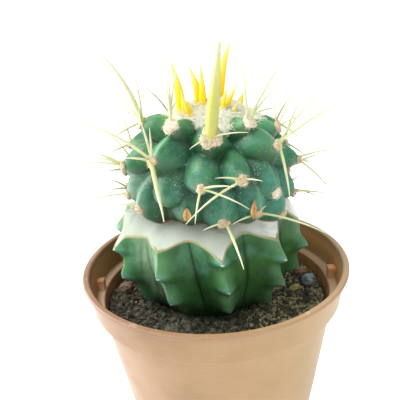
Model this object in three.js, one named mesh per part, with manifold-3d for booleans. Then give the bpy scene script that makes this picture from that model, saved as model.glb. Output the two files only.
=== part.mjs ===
// A monstrose barrel cactus head, grafted on a ribbed rootstock, in a small plastic nursery pot.
// Millimetres, +Z up. The origin is the middle of the pot's foot, and -Y faces the viewer.
// Azimuths are in degrees from the front (-Y), positive towards +X. Elevations are above the level.
import * as THREE from "three";
import { mergeVertices } from "three/addons/utils/BufferGeometryUtils.js";
import Module from "manifold-3d";

const wasm = await Module();
wasm.setup();

// Driving dimensions
const GAP = 0.35; // clearance that neighbouring pieces keep

const POT = {
  height: 70,
  rimRadius: 42.5,
  wall: 1,
  collarHeight: 10.3, // rim down to the step
  collarTopRadius: 41.5,
  collarFootRadius: 40.2,
  bodyTopRadius: 37.7,
  footRadius: 28.3,
  drainHoles: 8,
  drainRadius: 3.2,
  drainCircle: 19,
  facets: 40,
};

const SOIL = {
  level: 56,
  relief: 0.8,
  broadWave: 6.5,
  fineWave: 3.1,
  wallClimb: 0.03, // how the bed rises sideways towards the wall
  backClimb: 0.02,
  facets: 44,
  rings: 9,
  crumbs: 56,
  crumbBand: [25, 35], // ring round the rootstock where the larger crumbs lie
  crumbReach: 34, // how near the pot's wall they come
  crumbSizes: [1, 1.8],
};

// The rootstock stands on its own axis, whose height 0 is at the soil level
const STOCK = {
  foot: [-2.6, 5.8], // where the axis meets the soil
  leanRight: 4,
  leanBack: 6,
  ribs: 10,
  firstRib: 4.2, // azimuth of the front rib at the cut
  twist: 0.43, // degrees that the ribs turn per millimetre of height
  cutHeight: 21.4, // height of the rib tips at the cut
  crestRadius: 31,
  footNarrowing: 10.3, // how much slimmer the crests are at the soil than at the cut
  footCurve: 2.75,
  valleyDepth: 5.3,
  valleyRounding: 0.18, // share of half a rib over which the valley's bottom is rounded
  toothReach: 2.9, // how far an areole bump stands out of the crest
  toothTop: 4.2, // its spread above the tip
  toothUnder: 1.9, // and below it
  toothStep: 9,
  toothShare: 0.36, // share of half a rib that a bump covers
  crestDip: 1.1, // how far the crest draws in between two bumps
  bevelSlope: 0.7,
  bevelRadius: 31, // where the bevel reaches the rib tips
  seatRadius: 17, // flat middle of the cut, under the head
  deepBevel: { middle: -9, full: 42, end: 78 }, // degrees either side that the knife went deep
  lightBevel: { slope: 1.67, rise: 2.7, rightDrop: 3.2 }, // it passed higher and steeper over the rest
  cutSlopeX: 0.1, // the cut rises to the right
  cutSlopeY: -0.06, // and falls towards the back
  stubRadius: 9,
  stubDepth: 14,
  stubTaper: 8, // depth below the soil where the ribbed body has shrunk to the stub
  linesPerRib: 6,
};

const HEAD = {
  centre: [0.5, 7, 101],
  leanRight: 4,
  girth: 27, // radius of the outer form that the tubercle tips reach
  rise: 16, // its height above the centre
  drop: 20, // its depth below the centre at the front
  backDrop: 6, // more depth at the back, down to the sloping seat
  squareness: 2.4,
  furrow: 6.5, // depth of the flesh between tubercles, above
  hemFurrow: 1.8, // and near the foot, where the head is smoother
  flank: 8, // fall of a tubercle at its half width
  crease: 0.3, // softness where two tubercles meet
};

// How a tubercle falls from its tip, keeled or round
const TUBERCLE = {
  crownStretch: 1.3, // longer towards the crown than a half width
  sight: 0.5, // cosine of the widest angle at which a tubercle still counts
  keeled: { outline: 1.35, steepness: 1.25 },
  round: { outline: 2, steepness: 1.85 },
};

// Azimuth, elevation, half width, roundness from 0 (keeled) to 1 (round), growth past the outer form,
// and how many half widths it reaches down from its tip
const FRONT_TUBERCLES = {
  leftShoulder: [-82, 30, 8, 0.6, 0.9, 0.8],
  leftCrown: [-37, 37, 7, 0.2, 2.2, 1.1],
  middleCrown: [-2, 30.5, 8.8, 0, 1.6, 1.5],
  rightCrown: [39, 42, 7, 0.2, 1.8, 1],
  rightShoulder: [72, 30, 7, 0.6, 0.8, 0.8],
  rightFront: [48, 20.5, 9, 0.2, 1.1, 1.35],
  rightEdge: [82, 3, 7, 0.5, 1, 0.8],
  leftFront: [-38.5, 12.5, 9.5, 0.1, 1.2, 1.2],
  leftEdge: [-74, 1, 8, 0.5, 0.8, 0.8],
  middleLeft: [-7, 0.5, 8.4, 1, 1, 0.55],
  middleRight: [16, 4.5, 7.2, 1, 0.9, 0.55],
  rightBelly: [42, -8, 10.5, 0.6, 0.7, 0.7],
  rightLow: [76, -18, 8.5, 0.5, 1.4, 0.8],
  leftBelly: [-32, -11, 10, 0.7, 0.6, 0.7],
  leftLow: [-70, -17, 9.5, 0.6, 1, 0.9],
  leftHem: [-20, -24, 11.5, 0.7, -0.6, 1.2],
  middleHem: [7, -24, 11, 0.7, 0.8, 1.1],
  rightHem: [31, -20, 12.5, 0.5, 0.5, 1.3],
  rightSkirt: [51, -23, 9, 0.6, 2.8, 1.5],
  leftSkirt: [-52, -20, 8.5, 0.6, 2, 2],
};

// Reach of each pale spine from its areole: millimetres to the right, to the back and up, then its width
const FRONT_SPINES = {
  leftShoulder: [[-10, -2, 19.6, 1.3], [-0.5, -4, 6.5, 0.8], [-9, 6, 9, 0.8]],
  leftCrown: [[-2.2, 4, 15.5, 0.8], [-0.5, 6, 16.6, 0.8], [2.1, 8, 17.3, 0.7]],
  middleCrown: [[1.8, -3, 23.9, 3.8], [-5, -4.5, -1.5, 0.7], [9, -3, 2, 0.7]],
  rightCrown: [[-2, 2, 18.8, 0.9], [0, -4, 6, 0.7], [11.9, 6, 18.3, 0.9], [9.5, 3, 10.8, 0.8]],
  rightShoulder: [[5.6, 6, 8.4, 0.8], [10, 2, 4, 0.7]],
  rightFront: [[21.1, 4, 12.2, 1], [14.5, 8, 14.7, 0.8], [2.9, -4.5, -14.2, 1.1], [4.5, -3, 3.5, 0.7]],
  rightEdge: [[13.2, 2, 2, 0.8], [5, -2, -0.2, 0.7], [12, 0, -11.3, 0.8]],
  leftFront: [
    [-17.3, -3, 11.1, 1.1], [-2.3, -5, 11.1, 1], [0.1, -5, 9.8, 0.8],
    [-6.8, -4, 1.8, 0.9], [3.1, -5.5, -14.8, 1.7],
  ],
  leftEdge: [[-10.5, 0, 4.2, 0.8], [-11.5, -2, 2.6, 0.8], [-17.5, 2, -0.1, 0.9]],
  middleLeft: [[7.8, -4, 2, 0.8], [-1.6, -4, -7.4, 0.9], [11.6, -5, -3.5, 0.8]],
  middleRight: [[-6.9, -4, 2.1, 0.8], [4.1, -4, 1.1, 0.7], [-14.7, -6, -9.2, 0.9]],
  rightBelly: [],
  rightLow: [[4.5, 0, 0.2, 0.7], [13.1, 2, -2.1, 0.8]],
  leftBelly: [],
  leftLow: [[-16.6, 0, -3.9, 0.9]],
  leftHem: [],
  middleHem: [[3.6, -13.5, -6.7, 1.2], [-5.1, -4, -0.2, 0.8]],
  rightHem: [[-7.5, -4, -1, 0.8], [1.1, -4, 3.6, 0.7], [18.8, -4, -5, 0.9]],
  rightSkirt: [],
  leftSkirt: [[-9, -2, 2.2, 0.7]],
};

// The back of the head, which the photograph hides, grows by rule: tiers of tubercles with spines
const BACK_TIERS = [
  { elevation: 27, azimuths: [108, 144, 180, 216, 252] },
  { elevation: 6, azimuths: [112, 140, 167, 194, 222, 250] },
  { elevation: -9, azimuths: [104, 132, 160, 188, 216, 244, 268] },
  { elevation: -22, azimuths: [92, 125, 160, 195, 230, 265] },
];
const BACK_TUBERCLE = {
  halfWidth: 8.4,
  roundness: 0.4,
  growth: 0.6,
  reachDown: 0.9,
  azimuthJitter: 4,
  elevationJitter: 3,
};
const BACK_SPINES = { count: 3, shortest: 8, longest: 17, width: 0.9, spread: 62, lowestSlope: 0.1 };

const AREOLE = {
  bare: ["leftBelly"], // tubercles in view that end without an areole
  radius: 1.7,
  largeRadii: { middleCrown: 3.3, leftCrown: 2.4, rightCrown: 2.2 }, // the woolly ones round the crown
  thickness: 0.6,
};
const NEEDLE = { sink: 1.3, girth: 1.15, tipShare: 0.25, taper: 1.5, point: 0.4, sides: 3, bow: 0.06 };

const WOOL = {
  offset: [1.2, 1],
  radius: 14,
  top: 18.4,
  edge: 13.2,
  foot: 11.4,
  facets: 30,
  lobes: [[5, 1.1], [8, 0.6]], // waves of the outline: how many, how far
};

// Foot of each golden spine on the wool from the head's centre (right, back), its reach and its width
const GOLDEN_SPINES = [
  [-8.8, -1.8, [-3.1, 2, 16.2], 2.8],
  [-5.8, -6, [-3.4, -1, 7.2], 2],
  [-7.3, -4.3, [-1.4, 0, 8.2], 1.8],
  [-3.3, 0.4, [-3, 1, 12.3], 2.6],
  [-2.2, -3.2, [-0.6, 2, 13.4], 2],
  [2.9, 4.2, [3.4, 2, 19], 3.2],
  [3.6, -5.2, [1.5, 1, 8.3], 1.4],
  [4.6, -3.6, [3.7, 1, 8.1], 1.5],
  [9.2, 3.6, [1.1, 0, 5.7], 2.2],
  [6.8, -5.4, [0.8, 0, 3.8], 1.5],
];
const GOLDEN_SINK = 1.2; // how deep the foot of a golden spine lies in the wool

const BIT_LIFT = 0.55; // share of a loose bit's half height that its middle lies above the soil
const BIT_TILT = 0.15;
const LOOSE_BITS = [
  { name: "pebble_blue_grey", at: [31.8, 3], size: [2.6, 2.5, 2.4], colour: 0x7f8b97 },
  { name: "pebble_tan", at: [30, 9.2], size: [2.6, 2.2, 1.8], colour: 0xb08d68 },
  { name: "pebble_brown", at: [-30.8, 4.5], size: [3, 2.6, 2], colour: 0x8c6b4e },
  { name: "bark_chip_yellow", at: [26.6, 0.4], size: [2.2, 1.4, 0.9], colour: 0xa79a55 },
];

const COLOURS = {
  pot: 0xd09a72,
  soil: 0x3a2c1f,
  rootstock: 0x4d8a5a,
  head: 0x3f7d5b,
  wool: 0xece4cf,
};

// Helpers
function radians(degrees) {
  return THREE.MathUtils.degToRad(degrees);
}

// Level direction of an azimuth
function level(azimuth) {
  return new THREE.Vector3(Math.sin(radians(azimuth)), -Math.cos(radians(azimuth)), 0);
}

function direction(azimuth, elevation) {
  const outward = level(azimuth).multiplyScalar(Math.cos(radians(elevation)));
  outward.z = Math.sin(radians(elevation));
  return outward;
}

// The same row of numbers from 0 to 1 on every run
function seededRandom(seed) {
  const factor = 16807;
  const modulus = 2147483647;
  let state = seed;
  return () => {
    state = (state * factor) % modulus;
    return state / modulus;
  };
}

function between([low, high], share) {
  return THREE.MathUtils.lerp(low, high, share);
}

function smoothStep(low, high, value) {
  return THREE.MathUtils.smoothstep(value, low, high);
}

// A solid for joining and cutting, from a closed geometry
function solidOf(geometry) {
  const bare = geometry.clone();
  bare.deleteAttribute("normal");
  bare.deleteAttribute("uv");
  const merged = mergeVertices(bare, 1e-4);
  const corners = merged.index.array;
  const triangles = [];
  for (let i = 0; i < corners.length; i += 3) {
    const [a, b, c] = [corners[i], corners[i + 1], corners[i + 2]];
    if (a !== b && b !== c && c !== a) triangles.push(a, b, c);
  }
  const solid = new wasm.Manifold(
    new wasm.Mesh({
      numProp: 3,
      vertProperties: merged.attributes.position.array,
      triVerts: new Uint32Array(triangles),
    }),
  );
  if (solid.volume() > 0) return solid;
  for (let i = 0; i < triangles.length; i += 3) {
    [triangles[i + 1], triangles[i + 2]] = [triangles[i + 2], triangles[i + 1]];
  }
  return new wasm.Manifold(
    new wasm.Mesh({
      numProp: 3,
      vertProperties: merged.attributes.position.array,
      triVerts: new Uint32Array(triangles),
    }),
  );
}

function geometryOf(solid) {
  const mesh = solid.getMesh();
  const geometry = new THREE.BufferGeometry();
  geometry.setAttribute("position", new THREE.BufferAttribute(mesh.vertProperties, 3));
  geometry.setIndex(new THREE.BufferAttribute(mesh.triVerts, 1));
  geometry.computeVertexNormals();
  return geometry;
}

// So much of one direction and so much of another
function mixed(first, firstShare, second, secondShare) {
  return first.clone().multiplyScalar(firstShare).addScaledVector(second, secondShare);
}

function addAll(first, others) {
  return others.reduce((sum, other) => sum.add(other), first);
}

// The closed skin through rings of equal length, with a point at each end
function skinOf(firstPoint, rings, lastPoint) {
  const sides = rings[0].length;
  const points = [firstPoint, ...rings.flat(), lastPoint];
  const last = points.length - 1;
  const triangles = [];
  const corner = (ring, side) => 1 + ring * sides + (side % sides);
  for (let side = 0; side < sides; side += 1) {
    triangles.push(0, corner(0, side + 1), corner(0, side));
    triangles.push(last, corner(rings.length - 1, side), corner(rings.length - 1, side + 1));
    for (let ring = 0; ring < rings.length - 1; ring += 1) {
      triangles.push(corner(ring, side), corner(ring, side + 1), corner(ring + 1, side));
      triangles.push(corner(ring, side + 1), corner(ring + 1, side + 1), corner(ring + 1, side));
    }
  }
  const geometry = new THREE.BufferGeometry().setFromPoints(points);
  geometry.setIndex(triangles);
  return geometry;
}

function leaned(object, leanRight, leanBack) {
  object.rotation.set(radians(-leanBack), radians(leanRight), 0, "YXZ");
  object.updateMatrix();
  return object;
}

function placedMesh(name, geometry, colour, roughness) {
  const material = new THREE.MeshStandardMaterial({ color: colour, roughness, metalness: 0 });
  const mesh = new THREE.Mesh(geometry, material);
  mesh.name = name;
  return mesh;
}

// Pot
const bodyFootHeight = 0.8;
const edge = 0.4; // rounding of the pot's edges
const collarFoot = POT.height - POT.collarHeight;
const bodyTop = collarFoot - 1.5;
const ledgeTop = collarFoot + 0.9;

// Outer radius of the tapered body
function bodyRadius(height) {
  const share = (height - bodyFootHeight) / (bodyTop - bodyFootHeight);
  return THREE.MathUtils.lerp(POT.footRadius, POT.bodyTopRadius, share);
}

function potProfile() {
  const { height, rimRadius, wall, collarTopRadius, collarFootRadius, footRadius } = POT;
  const padRadius = 12; // flat middle that the pot also stands on
  const channelEnd = 24;
  const channelRise = 2;
  const slope = 2; // width of the slopes beside the raised channel
  const lipFoot = height - 1.4;
  const neck = bodyRadius(bodyTop) - wall;
  return [
    [0, 0],
    [padRadius, 0],
    [padRadius + slope, channelRise],
    [channelEnd, channelRise],
    [channelEnd + slope, 0],
    [footRadius - bodyFootHeight, 0],
    [footRadius, bodyFootHeight],
    [bodyRadius(bodyTop), bodyTop],
    [collarFootRadius - edge, collarFoot],
    [collarFootRadius, collarFoot + edge],
    [collarTopRadius, lipFoot],
    [rimRadius - edge, lipFoot],
    [rimRadius, lipFoot + edge],
    [rimRadius, height - edge],
    [rimRadius - edge, height],
    [collarTopRadius - wall + edge, height],
    [collarTopRadius - wall, height - edge],
    [collarFootRadius - wall, ledgeTop + edge],
    [collarFootRadius - wall - edge, ledgeTop],
    [neck + edge, ledgeTop],
    [neck, ledgeTop - edge],
    [neck, bodyTop],
    [bodyRadius(2 * wall) - wall, 2 * wall],
    [bodyRadius(wall) - 2 * wall, wall],
    [channelEnd + slope - edge, wall],
    [channelEnd - edge, channelRise + wall],
    [padRadius + slope + edge, channelRise + wall],
    [padRadius + edge, wall],
    [0, wall],
  ].map(([radius, z]) => new THREE.Vector2(radius, z));
}

function drainHole(index) {
  const azimuth = ((index + 0.5) * 360) / POT.drainHoles;
  const centre = level(azimuth).multiplyScalar(POT.drainCircle);
  const length = 8 * POT.wall;
  const hole = new THREE.CylinderGeometry(POT.drainRadius, POT.drainRadius, length, 12);
  return solidOf(hole.rotateX(Math.PI / 2).translate(centre.x, centre.y, 2));
}

// The four lugs that keep stacked pots apart stand on the ledge against the collar
function stackingLug(index) {
  const [depth, width, height] = [2.6, 3, 4.2];
  const turn = -1.5; // the photograph's lug stands just in front of the middle
  const lug = new THREE.BoxGeometry(depth, width, height);
  lug.translate(POT.collarFootRadius - POT.wall + edge - depth / 2, 0, ledgeTop - 0.5 + height / 2);
  return solidOf(lug.rotateZ(radians(90 * index + turn)));
}

function potSolid() {
  const shell = new THREE.LatheGeometry(potProfile(), POT.facets).rotateX(Math.PI / 2);
  const holes = Array.from({ length: POT.drainHoles }, (_, index) => drainHole(index));
  const lugs = Array.from({ length: 4 }, (_, index) => stackingLug(index));
  return addAll(solidOf(shell), lugs).subtract(addAll(holes[0], holes.slice(1)));
}

// Rootstock
function crestRadius(height) {
  const risen = THREE.MathUtils.clamp(height / STOCK.cutHeight, 0, 1);
  const above = STOCK.crestRadius - STOCK.footNarrowing * Math.pow(1 - risen, STOCK.footCurve);
  const intoSoil = smoothStep(0, STOCK.stubTaper, -height);
  return THREE.MathUtils.lerp(above, STOCK.stubRadius, intoSoil);
}

// Heights of the areole bumps on a rib: the ribs in view follow the photograph, the rest alternate
function bumpHeights(rib) {
  const firstBump = { 0: 3.1, 1: 1.5, 2: -0.6, 7: 1.2, 8: 0.8, 9: -2.8 };
  const first = firstBump[rib] ?? (rib % 2 ? 0 : 4);
  const ribTip = level(stockAzimuth(rib, 0.5, STOCK.cutHeight)).multiplyScalar(STOCK.crestRadius);
  const heights = [0, 1, 2, 3].map((step) => first + STOCK.toothStep * step);
  return heights.filter((height) => height < cutHeightAt(ribTip) - 0.5);
}

// A bump is a tooth that swells slowly from above and ends sharply below
function toothAt(above) {
  const spread = above > 0 ? STOCK.toothTop : STOCK.toothUnder;
  return STOCK.toothReach * Math.exp(-Math.pow(above / spread, 2));
}

// Share of the valley's depth across half a rib: straight down from the crest, rounded at the bottom
function valleyShare(across) {
  const rounding = STOCK.valleyRounding;
  const start = Math.hypot(1, rounding);
  return (start - Math.hypot(1 - across, rounding)) / (start - rounding);
}

// Radius of the ribbed body. Phase runs from 0 to 1 across a rib, with the crest at 0.5.
function stockRadius(rib, phase, height) {
  const across = Math.abs(phase - 0.5) * 2;
  const depth = STOCK.valleyDepth * smoothStep(-6, 8, height);
  const bumps = bumpHeights(rib).reduce((sum, bump) => sum + toothAt(height - bump), 0);
  const onCrest = Math.exp(-Math.pow(across / STOCK.toothShare, 2)) * smoothStep(-2, 2, height);
  return crestRadius(height) - depth * valleyShare(across) + (bumps - STOCK.crestDip) * onCrest;
}

function stockAzimuth(rib, phase, height) {
  const pitch = 360 / STOCK.ribs;
  return STOCK.firstRib + pitch * (rib + phase - 0.5) - STOCK.twist * (height - STOCK.cutHeight);
}

// How lightly the rim was bevelled at a point: 0 in front, where the knife went deep, and 1 round the back
function bevelLightness(point) {
  const { middle, full, end } = STOCK.deepBevel;
  const azimuth = THREE.MathUtils.radToDeg(Math.atan2(point.x, -point.y));
  const away = Math.abs(THREE.MathUtils.euclideanModulo(azimuth - middle + 180, 360) - 180);
  return smoothStep(full, end, away);
}

// Height of the cut face over a point, with the level of the whole cut moved by lift
function cutHeightAt(point, lift = 0) {
  const { bevelSlope, bevelRadius, seatRadius, lightBevel } = STOCK;
  const radius = Math.hypot(point.x, point.y);
  const lightness = bevelLightness(point);
  const slope = THREE.MathUtils.lerp(bevelSlope, lightBevel.slope, lightness);
  const rightShare = radius > 0 ? point.x / radius : 0;
  const rise = lightness * (lightBevel.rise - lightBevel.rightDrop * rightShare);
  const seat = bevelSlope * (bevelRadius - seatRadius);
  const slopes = STOCK.cutSlopeX * point.x + STOCK.cutSlopeY * point.y;
  return STOCK.cutHeight + Math.min(slope * (bevelRadius - radius) + rise, seat) + slopes + lift;
}

// Height where a rib line runs out into the bevelled cut
function edgeHeight(rib, phase, swell) {
  let height = STOCK.cutHeight;
  for (let round = 0; round < 6; round += 1) {
    const radius = stockRadius(rib, phase, height) + swell;
    height = cutHeightAt(level(stockAzimuth(rib, phase, height)).multiplyScalar(radius), swell);
  }
  return height;
}

// The rootstock. Swell grows it to cut its hole in the soil.
function stockGeometry(swell) {
  const { linesPerRib } = STOCK;
  const lines = [];
  for (let rib = 0; rib < STOCK.ribs; rib += 1) {
    for (let line = 0; line < linesPerRib; line += 1) lines.push([rib, line / linesPerRib]);
  }
  const sidePoint = (rib, phase, height) => {
    const outward = level(stockAzimuth(rib, phase, height));
    return outward.multiplyScalar(stockRadius(rib, phase, height) + swell).setZ(height);
  };
  const buriedLevels = [-STOCK.stubDepth - swell, -8, -5, -2.5];
  const rings = buriedLevels.map((height) => lines.map(([rib, phase]) => sidePoint(rib, phase, height)));
  const rows = 10; // rings from the soil up to the cut
  for (let row = 0; row < rows; row += 1) {
    const rowHeight = ([rib, phase]) => (edgeHeight(rib, phase, 0) * row) / rows;
    rings.push(lines.map((line) => sidePoint(...line, rowHeight(line))));
  }
  const cutEdge = lines.map((line) => sidePoint(...line, edgeHeight(...line, swell)));
  rings.push(cutEdge);
  for (const share of [0.5, 1]) rings.push(cutEdge.map((point) => onCut(point, share, swell)));
  const foot = new THREE.Vector3(0, 0, -STOCK.stubDepth - swell);
  return skinOf(foot, rings, new THREE.Vector3(0, 0, cutHeightAt(new THREE.Vector3(), swell)));
}

// The point of the cut face that lies a share of the way from its edge to the flat seat
function onCut(edgePoint, share, lift) {
  const radius = Math.hypot(edgePoint.x, edgePoint.y);
  const inner = THREE.MathUtils.lerp(radius, STOCK.seatRadius, share);
  const point = edgePoint.clone().multiplyScalar(inner / radius);
  return point.setZ(cutHeightAt(point, lift));
}

const plant = new THREE.Group();
plant.position.set(STOCK.foot[0], STOCK.foot[1], SOIL.level);
leaned(plant, STOCK.leanRight, STOCK.leanBack);

// Head
const headGroup = new THREE.Group();
headGroup.position.set(...HEAD.centre);
leaned(headGroup, HEAD.leanRight, 0);

// Distance of the head's outer form from its centre
function formDistance(outward) {
  const across = Math.hypot(outward.x, outward.y);
  const backward = across > 0 ? (1 + outward.y / across) / 2 : 0.5;
  const depth = outward.z > 0 ? HEAD.rise : HEAD.drop + HEAD.backDrop * backward;
  const sum =
    Math.pow(across / HEAD.girth, HEAD.squareness) + Math.pow(Math.abs(outward.z) / depth, HEAD.squareness);
  return Math.pow(sum, -1 / HEAD.squareness);
}

function tubercle(azimuth, elevation, halfWidth, roundness, growth, reachDown) {
  const tip = direction(azimuth, elevation);
  const right = new THREE.Vector3(Math.cos(radians(azimuth)), Math.sin(radians(azimuth)), 0);
  const crownward = new THREE.Vector3().crossVectors(tip, right).negate();
  if (crownward.z < 0) crownward.negate();
  return { tip, right, crownward, halfWidth, roundness, reachDown, reach: formDistance(tip) + growth };
}

function backTubercles() {
  const random = seededRandom(11);
  const { halfWidth, roundness, growth, reachDown, azimuthJitter, elevationJitter } = BACK_TUBERCLE;
  return BACK_TIERS.flatMap(({ elevation, azimuths }) =>
    azimuths.map((azimuth) =>
      tubercle(
        azimuth + azimuthJitter * (2 * random() - 1),
        elevation + elevationJitter * (2 * random() - 1),
        halfWidth,
        roundness,
        growth,
        reachDown,
      ),
    ),
  );
}

const frontTubercles = Object.entries(FRONT_TUBERCLES).map(([name, sizes]) => ({
  ...tubercle(...sizes),
  name,
  spines: FRONT_SPINES[name],
  padRadius: AREOLE.largeRadii[name],
}));
const tubercles = [...frontTubercles, ...backTubercles()];

// How far one tubercle's surface lies from the head's centre along a direction
function tubercleDistance(
  { tip, right, crownward, halfWidth, roundness, reachDown, reach },
  outward,
) {
  const { keeled, round, crownStretch, sight } = TUBERCLE;
  if (outward.dot(tip) < sight) return 0;
  const across = Math.abs(outward.dot(right) * reach) / halfWidth;
  const along = (outward.dot(crownward) * reach) / halfWidth;
  const stretched = along > 0 ? along / crownStretch : -along / reachDown;
  const norm = THREE.MathUtils.lerp(keeled.outline, round.outline, roundness);
  const steepness = THREE.MathUtils.lerp(keeled.steepness, round.steepness, roundness);
  const distance = Math.pow(Math.pow(across, norm) + Math.pow(stretched, norm), 1 / norm);
  return reach - HEAD.flank * Math.pow(distance, steepness);
}

function headDistance(outward) {
  const softness = HEAD.crease;
  const furrow = THREE.MathUtils.lerp(HEAD.hemFurrow, HEAD.furrow, smoothStep(-0.6, -0.15, outward.z));
  const flesh = formDistance(outward) - furrow;
  const sum = tubercles.reduce(
    (total, each) => total + Math.exp((tubercleDistance(each, outward) - flesh) / softness),
    1,
  );
  return flesh + softness * Math.log(sum);
}

function headBody() {
  const bare = new THREE.IcosahedronGeometry(1, 10).deleteAttribute("uv").deleteAttribute("normal");
  const ball = mergeVertices(bare);
  const corners = ball.attributes.position;
  for (let i = 0; i < corners.count; i += 1) {
    const outward = new THREE.Vector3().fromBufferAttribute(corners, i).normalize();
    corners.setXYZ(i, ...outward.multiplyScalar(headDistance(outward)).toArray());
  }
  return solidOf(ball);
}

// A low tan pad on the tip of a tubercle
function areole({ tip, padRadius }) {
  const pad = new THREE.OctahedronGeometry(padRadius ?? AREOLE.radius, padRadius ? 1 : 0);
  pad.scale(1, 1, AREOLE.thickness);
  const facing = new THREE.Quaternion().setFromUnitVectors(new THREE.Vector3(0, 0, 1), tip);
  const centre = tip.clone().multiplyScalar(headDistance(tip) - 0.2);
  return solidOf(pad.applyQuaternion(facing).translate(...centre.toArray()));
}

// A tapered spine with a slight bow, whose root lies below the surface
function needle(base, reach, width) {
  const along = reach.clone().normalize();
  const side = new THREE.Vector3(0, 0, 1).cross(along);
  if (side.length() < 0.2) side.set(1, 0, 0);
  side.normalize();
  const upper = new THREE.Vector3().crossVectors(along, side);
  const spineLength = reach.length();
  const rings = [0, 0.5, 1].map((share) => {
    const middle = base
      .clone()
      .addScaledVector(along, spineLength * share - NEEDLE.sink * (1 - share))
      .addScaledVector(upper, spineLength * NEEDLE.bow * 4 * share * (1 - share));
    const narrowing = 1 - (1 - NEEDLE.tipShare) * Math.pow(share, NEEDLE.taper);
    const radius = (width / 2) * NEEDLE.girth * narrowing;
    return Array.from({ length: NEEDLE.sides }, (_, corner) => {
      const angle = (corner * 2 * Math.PI) / NEEDLE.sides;
      return middle
        .clone()
        .addScaledVector(side, radius * Math.cos(angle))
        .addScaledVector(upper, radius * Math.sin(angle));
    });
  });
  const root = base.clone().addScaledVector(along, -NEEDLE.sink - 0.1);
  const point = base.clone().addScaledVector(along, spineLength + NEEDLE.point);
  return solidOf(skinOf(root, rings, point));
}

// Spines of a tubercle at the back: a fan round its areole, bent clear of the rootstock on the low tiers
function backFan({ tip, right, crownward }, random) {
  const turn = random() * 360;
  return Array.from({ length: BACK_SPINES.count }, (_, index) => {
    const clock = radians(turn + (index * 360) / BACK_SPINES.count + 20 * random());
    const spread = radians(BACK_SPINES.spread * (0.8 + 0.3 * random()));
    const sideways = mixed(right, Math.cos(clock), crownward, Math.sin(clock));
    const outward = mixed(tip, Math.cos(spread), sideways, Math.sin(spread));
    if (tip.z < 0) outward.z = Math.max(outward.z, BACK_SPINES.lowestSlope);
    return outward.multiplyScalar(between([BACK_SPINES.shortest, BACK_SPINES.longest], random()));
  });
}

// A spine leaves its areole on the side that it points to
function spineFoot({ tip }, reach) {
  const sideways = reach.clone().projectOnPlane(tip);
  const base = tip.clone().multiplyScalar(headDistance(tip) + 0.2);
  return base.addScaledVector(sideways.normalize(), 0.5 * AREOLE.radius);
}

function paleSpines() {
  const random = seededRandom(29);
  return tubercles.flatMap((each) => {
    const reaches = each.spines
      ? each.spines.map(([x, y, z, width]) => [new THREE.Vector3(x, y, z), width])
      : backFan(each, random).map((reach) => [reach, BACK_SPINES.width]);
    return reaches.map(([reach, width]) => needle(spineFoot(each, reach), reach, width));
  });
}

// Height of the wool's domed top over a share of its radius
function woolHeight(share) {
  return THREE.MathUtils.lerp(WOOL.edge, WOOL.top, 1 - share * share);
}

// Crown wool: a low mound with a wavy edge. Swell grows it to cut its basin in the head.
function woolGeometry(swell) {
  const waveAt = (azimuth) =>
    WOOL.lobes.reduce((sum, [count, far]) => sum + far * Math.cos(radians(count * azimuth)), 0);
  const ring = (share, z) =>
    Array.from({ length: WOOL.facets }, (_, index) => {
      const azimuth = (index * 360) / WOOL.facets;
      return level(azimuth)
        .multiplyScalar((WOOL.radius + waveAt(azimuth)) * share + swell)
        .add(new THREE.Vector3(WOOL.offset[0], WOOL.offset[1], z));
    });
  const centre = (z) => new THREE.Vector3(WOOL.offset[0], WOOL.offset[1], z);
  const rings = [
    ring(0.8, WOOL.foot - swell),
    ring(0.95, WOOL.foot + 0.6 - swell),
    ring(1, WOOL.edge),
    ring(0.88, woolHeight(0.88) + swell),
    ring(0.5, woolHeight(0.5) + swell),
  ];
  return skinOf(centre(WOOL.foot - swell), rings, centre(WOOL.top + swell));
}

function woolSolid() {
  const spines = GOLDEN_SPINES.map(([x, y, reach, width]) => {
    const share = Math.hypot(x - WOOL.offset[0], y - WOOL.offset[1]) / WOOL.radius;
    const base = new THREE.Vector3(x, y, woolHeight(share) - GOLDEN_SINK);
    return needle(base, new THREE.Vector3(...reach), width);
  });
  return addAll(solidOf(woolGeometry(0)), spines);
}

// The shape that hollows the head's underside: the rootstock made wider and higher by the clearance
function seatGeometry() {
  const clearance = 1.2 * GAP; // measured upright, less across the steep bevel
  const widening = 1 + clearance / (STOCK.crestRadius - STOCK.valleyDepth);
  return stockGeometry(0).scale(widening, widening, 1).translate(0, 0, clearance);
}

// The head sits on the cut face and holds the wool in a basin
function headSolid() {
  const felted = tubercles.filter(({ name }) => !AREOLE.bare.includes(name));
  const grown = addAll(headBody(), felted.map(areole));
  const toHead = headGroup.matrix.clone().invert().multiply(plant.matrix);
  const cutFace = solidOf(seatGeometry().applyMatrix4(toHead));
  const seated = grown.subtract(cutFace).subtract(solidOf(woolGeometry(GAP)));
  return addAll(seated, paleSpines());
}

// Soil
function soilHeight(x, y) {
  const broad = Math.sin(x / SOIL.broadWave + 0.6) * Math.cos(y / (SOIL.broadWave + 1));
  const fine = Math.sin((x - 0.84 * y) / SOIL.fineWave);
  const climb = SOIL.wallClimb * Math.abs(x) + SOIL.backClimb * y;
  return SOIL.level + SOIL.relief * (0.9 * broad + 0.5 * fine) + climb - 0.6;
}

function soilRing(radius) {
  return Array.from({ length: SOIL.facets }, (_, index) => {
    const point = level((index * 360) / SOIL.facets).multiplyScalar(radius);
    return point.setZ(soilHeight(point.x, point.y));
  });
}

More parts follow.
